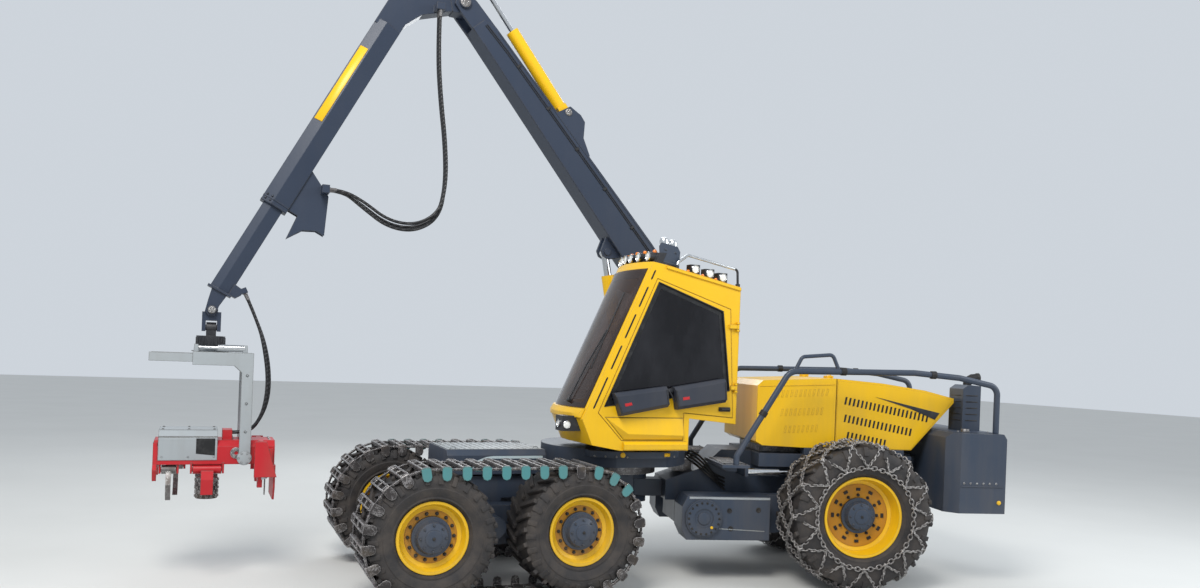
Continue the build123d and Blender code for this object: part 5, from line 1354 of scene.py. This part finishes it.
dress(RED, "head_frame", "head_guards", "feed_arm_left", "feed_arm_right", "saw_box")
dress(GREY, "head_cover")
dress(STEEL, "feed_roller_left", "feed_roller_right", "knife_left", "knife_right", "saw_bar")
form = Form()
outer = COVER + [(-y, z) for y, z in COVER[::-1]]
inner = COVER_INSIDE + [(-y, z) for y, z in COVER_INSIDE[::-1]]
for i in range(len(outer) - 1):
    strip = [outer[i], outer[i + 1], inner[i + 1], inner[i]]
    form.prism(strip, COVER_BACK, COVER_FRONT, across(CRANE_MIDDLE))
for x in (COVER_BACK, COVER_FRONT - 0.004):
    form.prism(COVER_END, x, x + 0.004, across(CRANE_MIDDLE))
for x in (4.80, 5.05, 5.30):
    for side in (-1, 1):
        form.bolt(spot(CRANE_MIDDLE, x, 0.15 * side, 1.612), 0.010, 0.010)
    for side in (1, -1):
        form.bolt(outward(CRANE_MIDDLE, x, COVER_HALF * side, 1.330), 0.007, 0.005)
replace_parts(form.piece("head_top_cover", "head", "grey_paint", GREY), "head_cover")
# The cover's side openings are flat black sheets of painted shade.
form = Form()
for y in (COVER_HALF, -COVER_HALF):
    form.on_side(COVER_OPENING, CRANE_MIDDLE, y, 0.002)
form.piece("head_cover_opening_shades", "head", "black_plastic", BLACK_FRIT_AND_SHADE)

form = Form()
form.swept([(4.375, CYLINDER_Y, 1.400), (4.345, CYLINDER_Y, 1.300)], 0.020, 12, at=CRANE_MIDDLE)
form.swept([(4.352, CYLINDER_Y, 1.320), (4.290, CYLINDER_Y, 1.100)], 0.031, 16, at=CRANE_MIDDLE)
form.piece("saw_side_cylinder", "head", "grey_paint", PALE)
form = Form()
for side in (1, -1):
    port = outward(CRANE_MIDDLE, 4.580, side * 0.2602, 1.370)
    form.ring(port, 0.020, 0.060, 0.008, 28)
    for place in ring_of(6, 0.045):
        form.bolt(port @ raised(0.008) @ place, 0.005, 0.004)
for x in (4.24, 4.44):
    for y in (-0.12, 0, 0.12):
        form.bolt(spot(CRANE_MIDDLE, x, y, 1.500), 0.011, 0.012)
for x in (4.52, 4.64):
    form.block((0.060, 0.200, 0.030), spot(CRANE_MIDDLE, x, 0, 1.5152), 0.006)
form.piece("head_ports_and_bolts", "head", "steel", STEEL)

for name, side in SIDES:
    form = Form()
    middle = spot(CRANE_MIDDLE, 4.860, side * 0.330, 1.020)
    form.turned(ROLLER, middle, 36, closed=True)
    for k in range(12):
        for row in range(5):
            turn = about(2 * math.pi * (k + 0.5 * (row % 2)) / 12)
            form.block((0.022, 0.018, 0.030), spot(middle @ turn, 0.108, 0, -0.084 + 0.042 * row), 0.005)
    roller = form.piece("feed_roller_ribs_" + name, "feed_roller_" + name, "steel", TRACK)
    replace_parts(roller, "feed_roller_" + name)


# Tilt frame
# Pale plate frame that carries the head: a silver tilt cylinder lies on top between two lugs, and bolts
# hold the rotator's flange, the head's pivots and the side plates.

HANGER_X = 4.871
ARM_X, ARM_SIDE = 4.500, 0.3092
TILT_Y, TILT_Z = 0.200, 2.485
LUG = [(0, 2.440), (0.050, 2.440), (0.045, 2.520), (0.005, 2.520)]

dress(GREY, "tilt_frame")
silver, bolts = Form(), Form()
silver.swept([(4.530, TILT_Y, TILT_Z), (4.800, TILT_Y, TILT_Z)], 0.038, 20, at=CRANE_MIDDLE)
silver.swept([(4.790, TILT_Y, TILT_Z), (4.985, TILT_Y, TILT_Z)], 0.020, 16, at=CRANE_MIDDLE)
for start in (4.500, 4.985):
    bolts.prism([(start + x, z) for x, z in LUG], -0.030, 0.030, flank(CRANE_MIDDLE, TILT_Y))
for place in ring_of(8, 0.150):
    bolts.bolt(spot(here(HANGER_X, CRANE_Y, 2.4402) @ about(0.2) @ place, 0.030, 0, 0), 0.010, 0.010)
for side in (1, -1):
    pivot = outward(CRANE_MIDDLE, ARM_X, ARM_SIDE * side, 1.320)
    bolts.cap(pivot, 0.075, 0.008, 0.055, 0.014)
    for place in ring_of(6, 0.056):
        bolts.bolt(pivot @ raised(0.010) @ place, 0.008, 0.008)
    for z in (1.60, 1.90, 2.20):
        bolts.bolt(outward(CRANE_MIDDLE, ARM_X, ARM_SIDE * side, z), 0.010, 0.010)
silver.piece("tilt_cylinder", "tilt_frame", "chrome", CHROME)
bolts.piece("tilt_frame_bolts", "tilt_frame", "grey_paint", GREY)


# Rotator
# A black swivel between the link and the tilt frame, whose drum is ribbed all round.

dress(BLACK_PLASTIC_AND_SHADOW, "rotator")
form = Form()
for place in ring_of(24, 0.1455):
    form.block((0.008, 0.014, 0.100), here(HANGER_X, CRANE_Y, 2.545) @ place, 0.003)
form.piece("rotator_ribs", "rotator", "black_plastic", BLACK_PLASTIC_AND_SHADOW)


# Floor
# A plain pale floor with faint clouds.

FLOOR_HALF = 60
floor_mesh = bpy.data.meshes.new("floor")
corners = [(FLOOR_HALF * x, FLOOR_HALF * y, 0) for x, y in ((-1, -1), (1, -1), (1, 1), (-1, 1))]
floor_mesh.from_pydata(corners, [], [(0, 1, 2, 3)])
floor = bpy.data.objects.new("floor", floor_mesh)
scene.collection.objects.link(floor)
ground = Look("floor", Roughness=0.9)
ground.use("Base Color", ground.mix(ground.noise(0.5), (0.62, 0.62, 0.60), (0.68, 0.68, 0.66)))
floor.data.materials.append(ground.material)
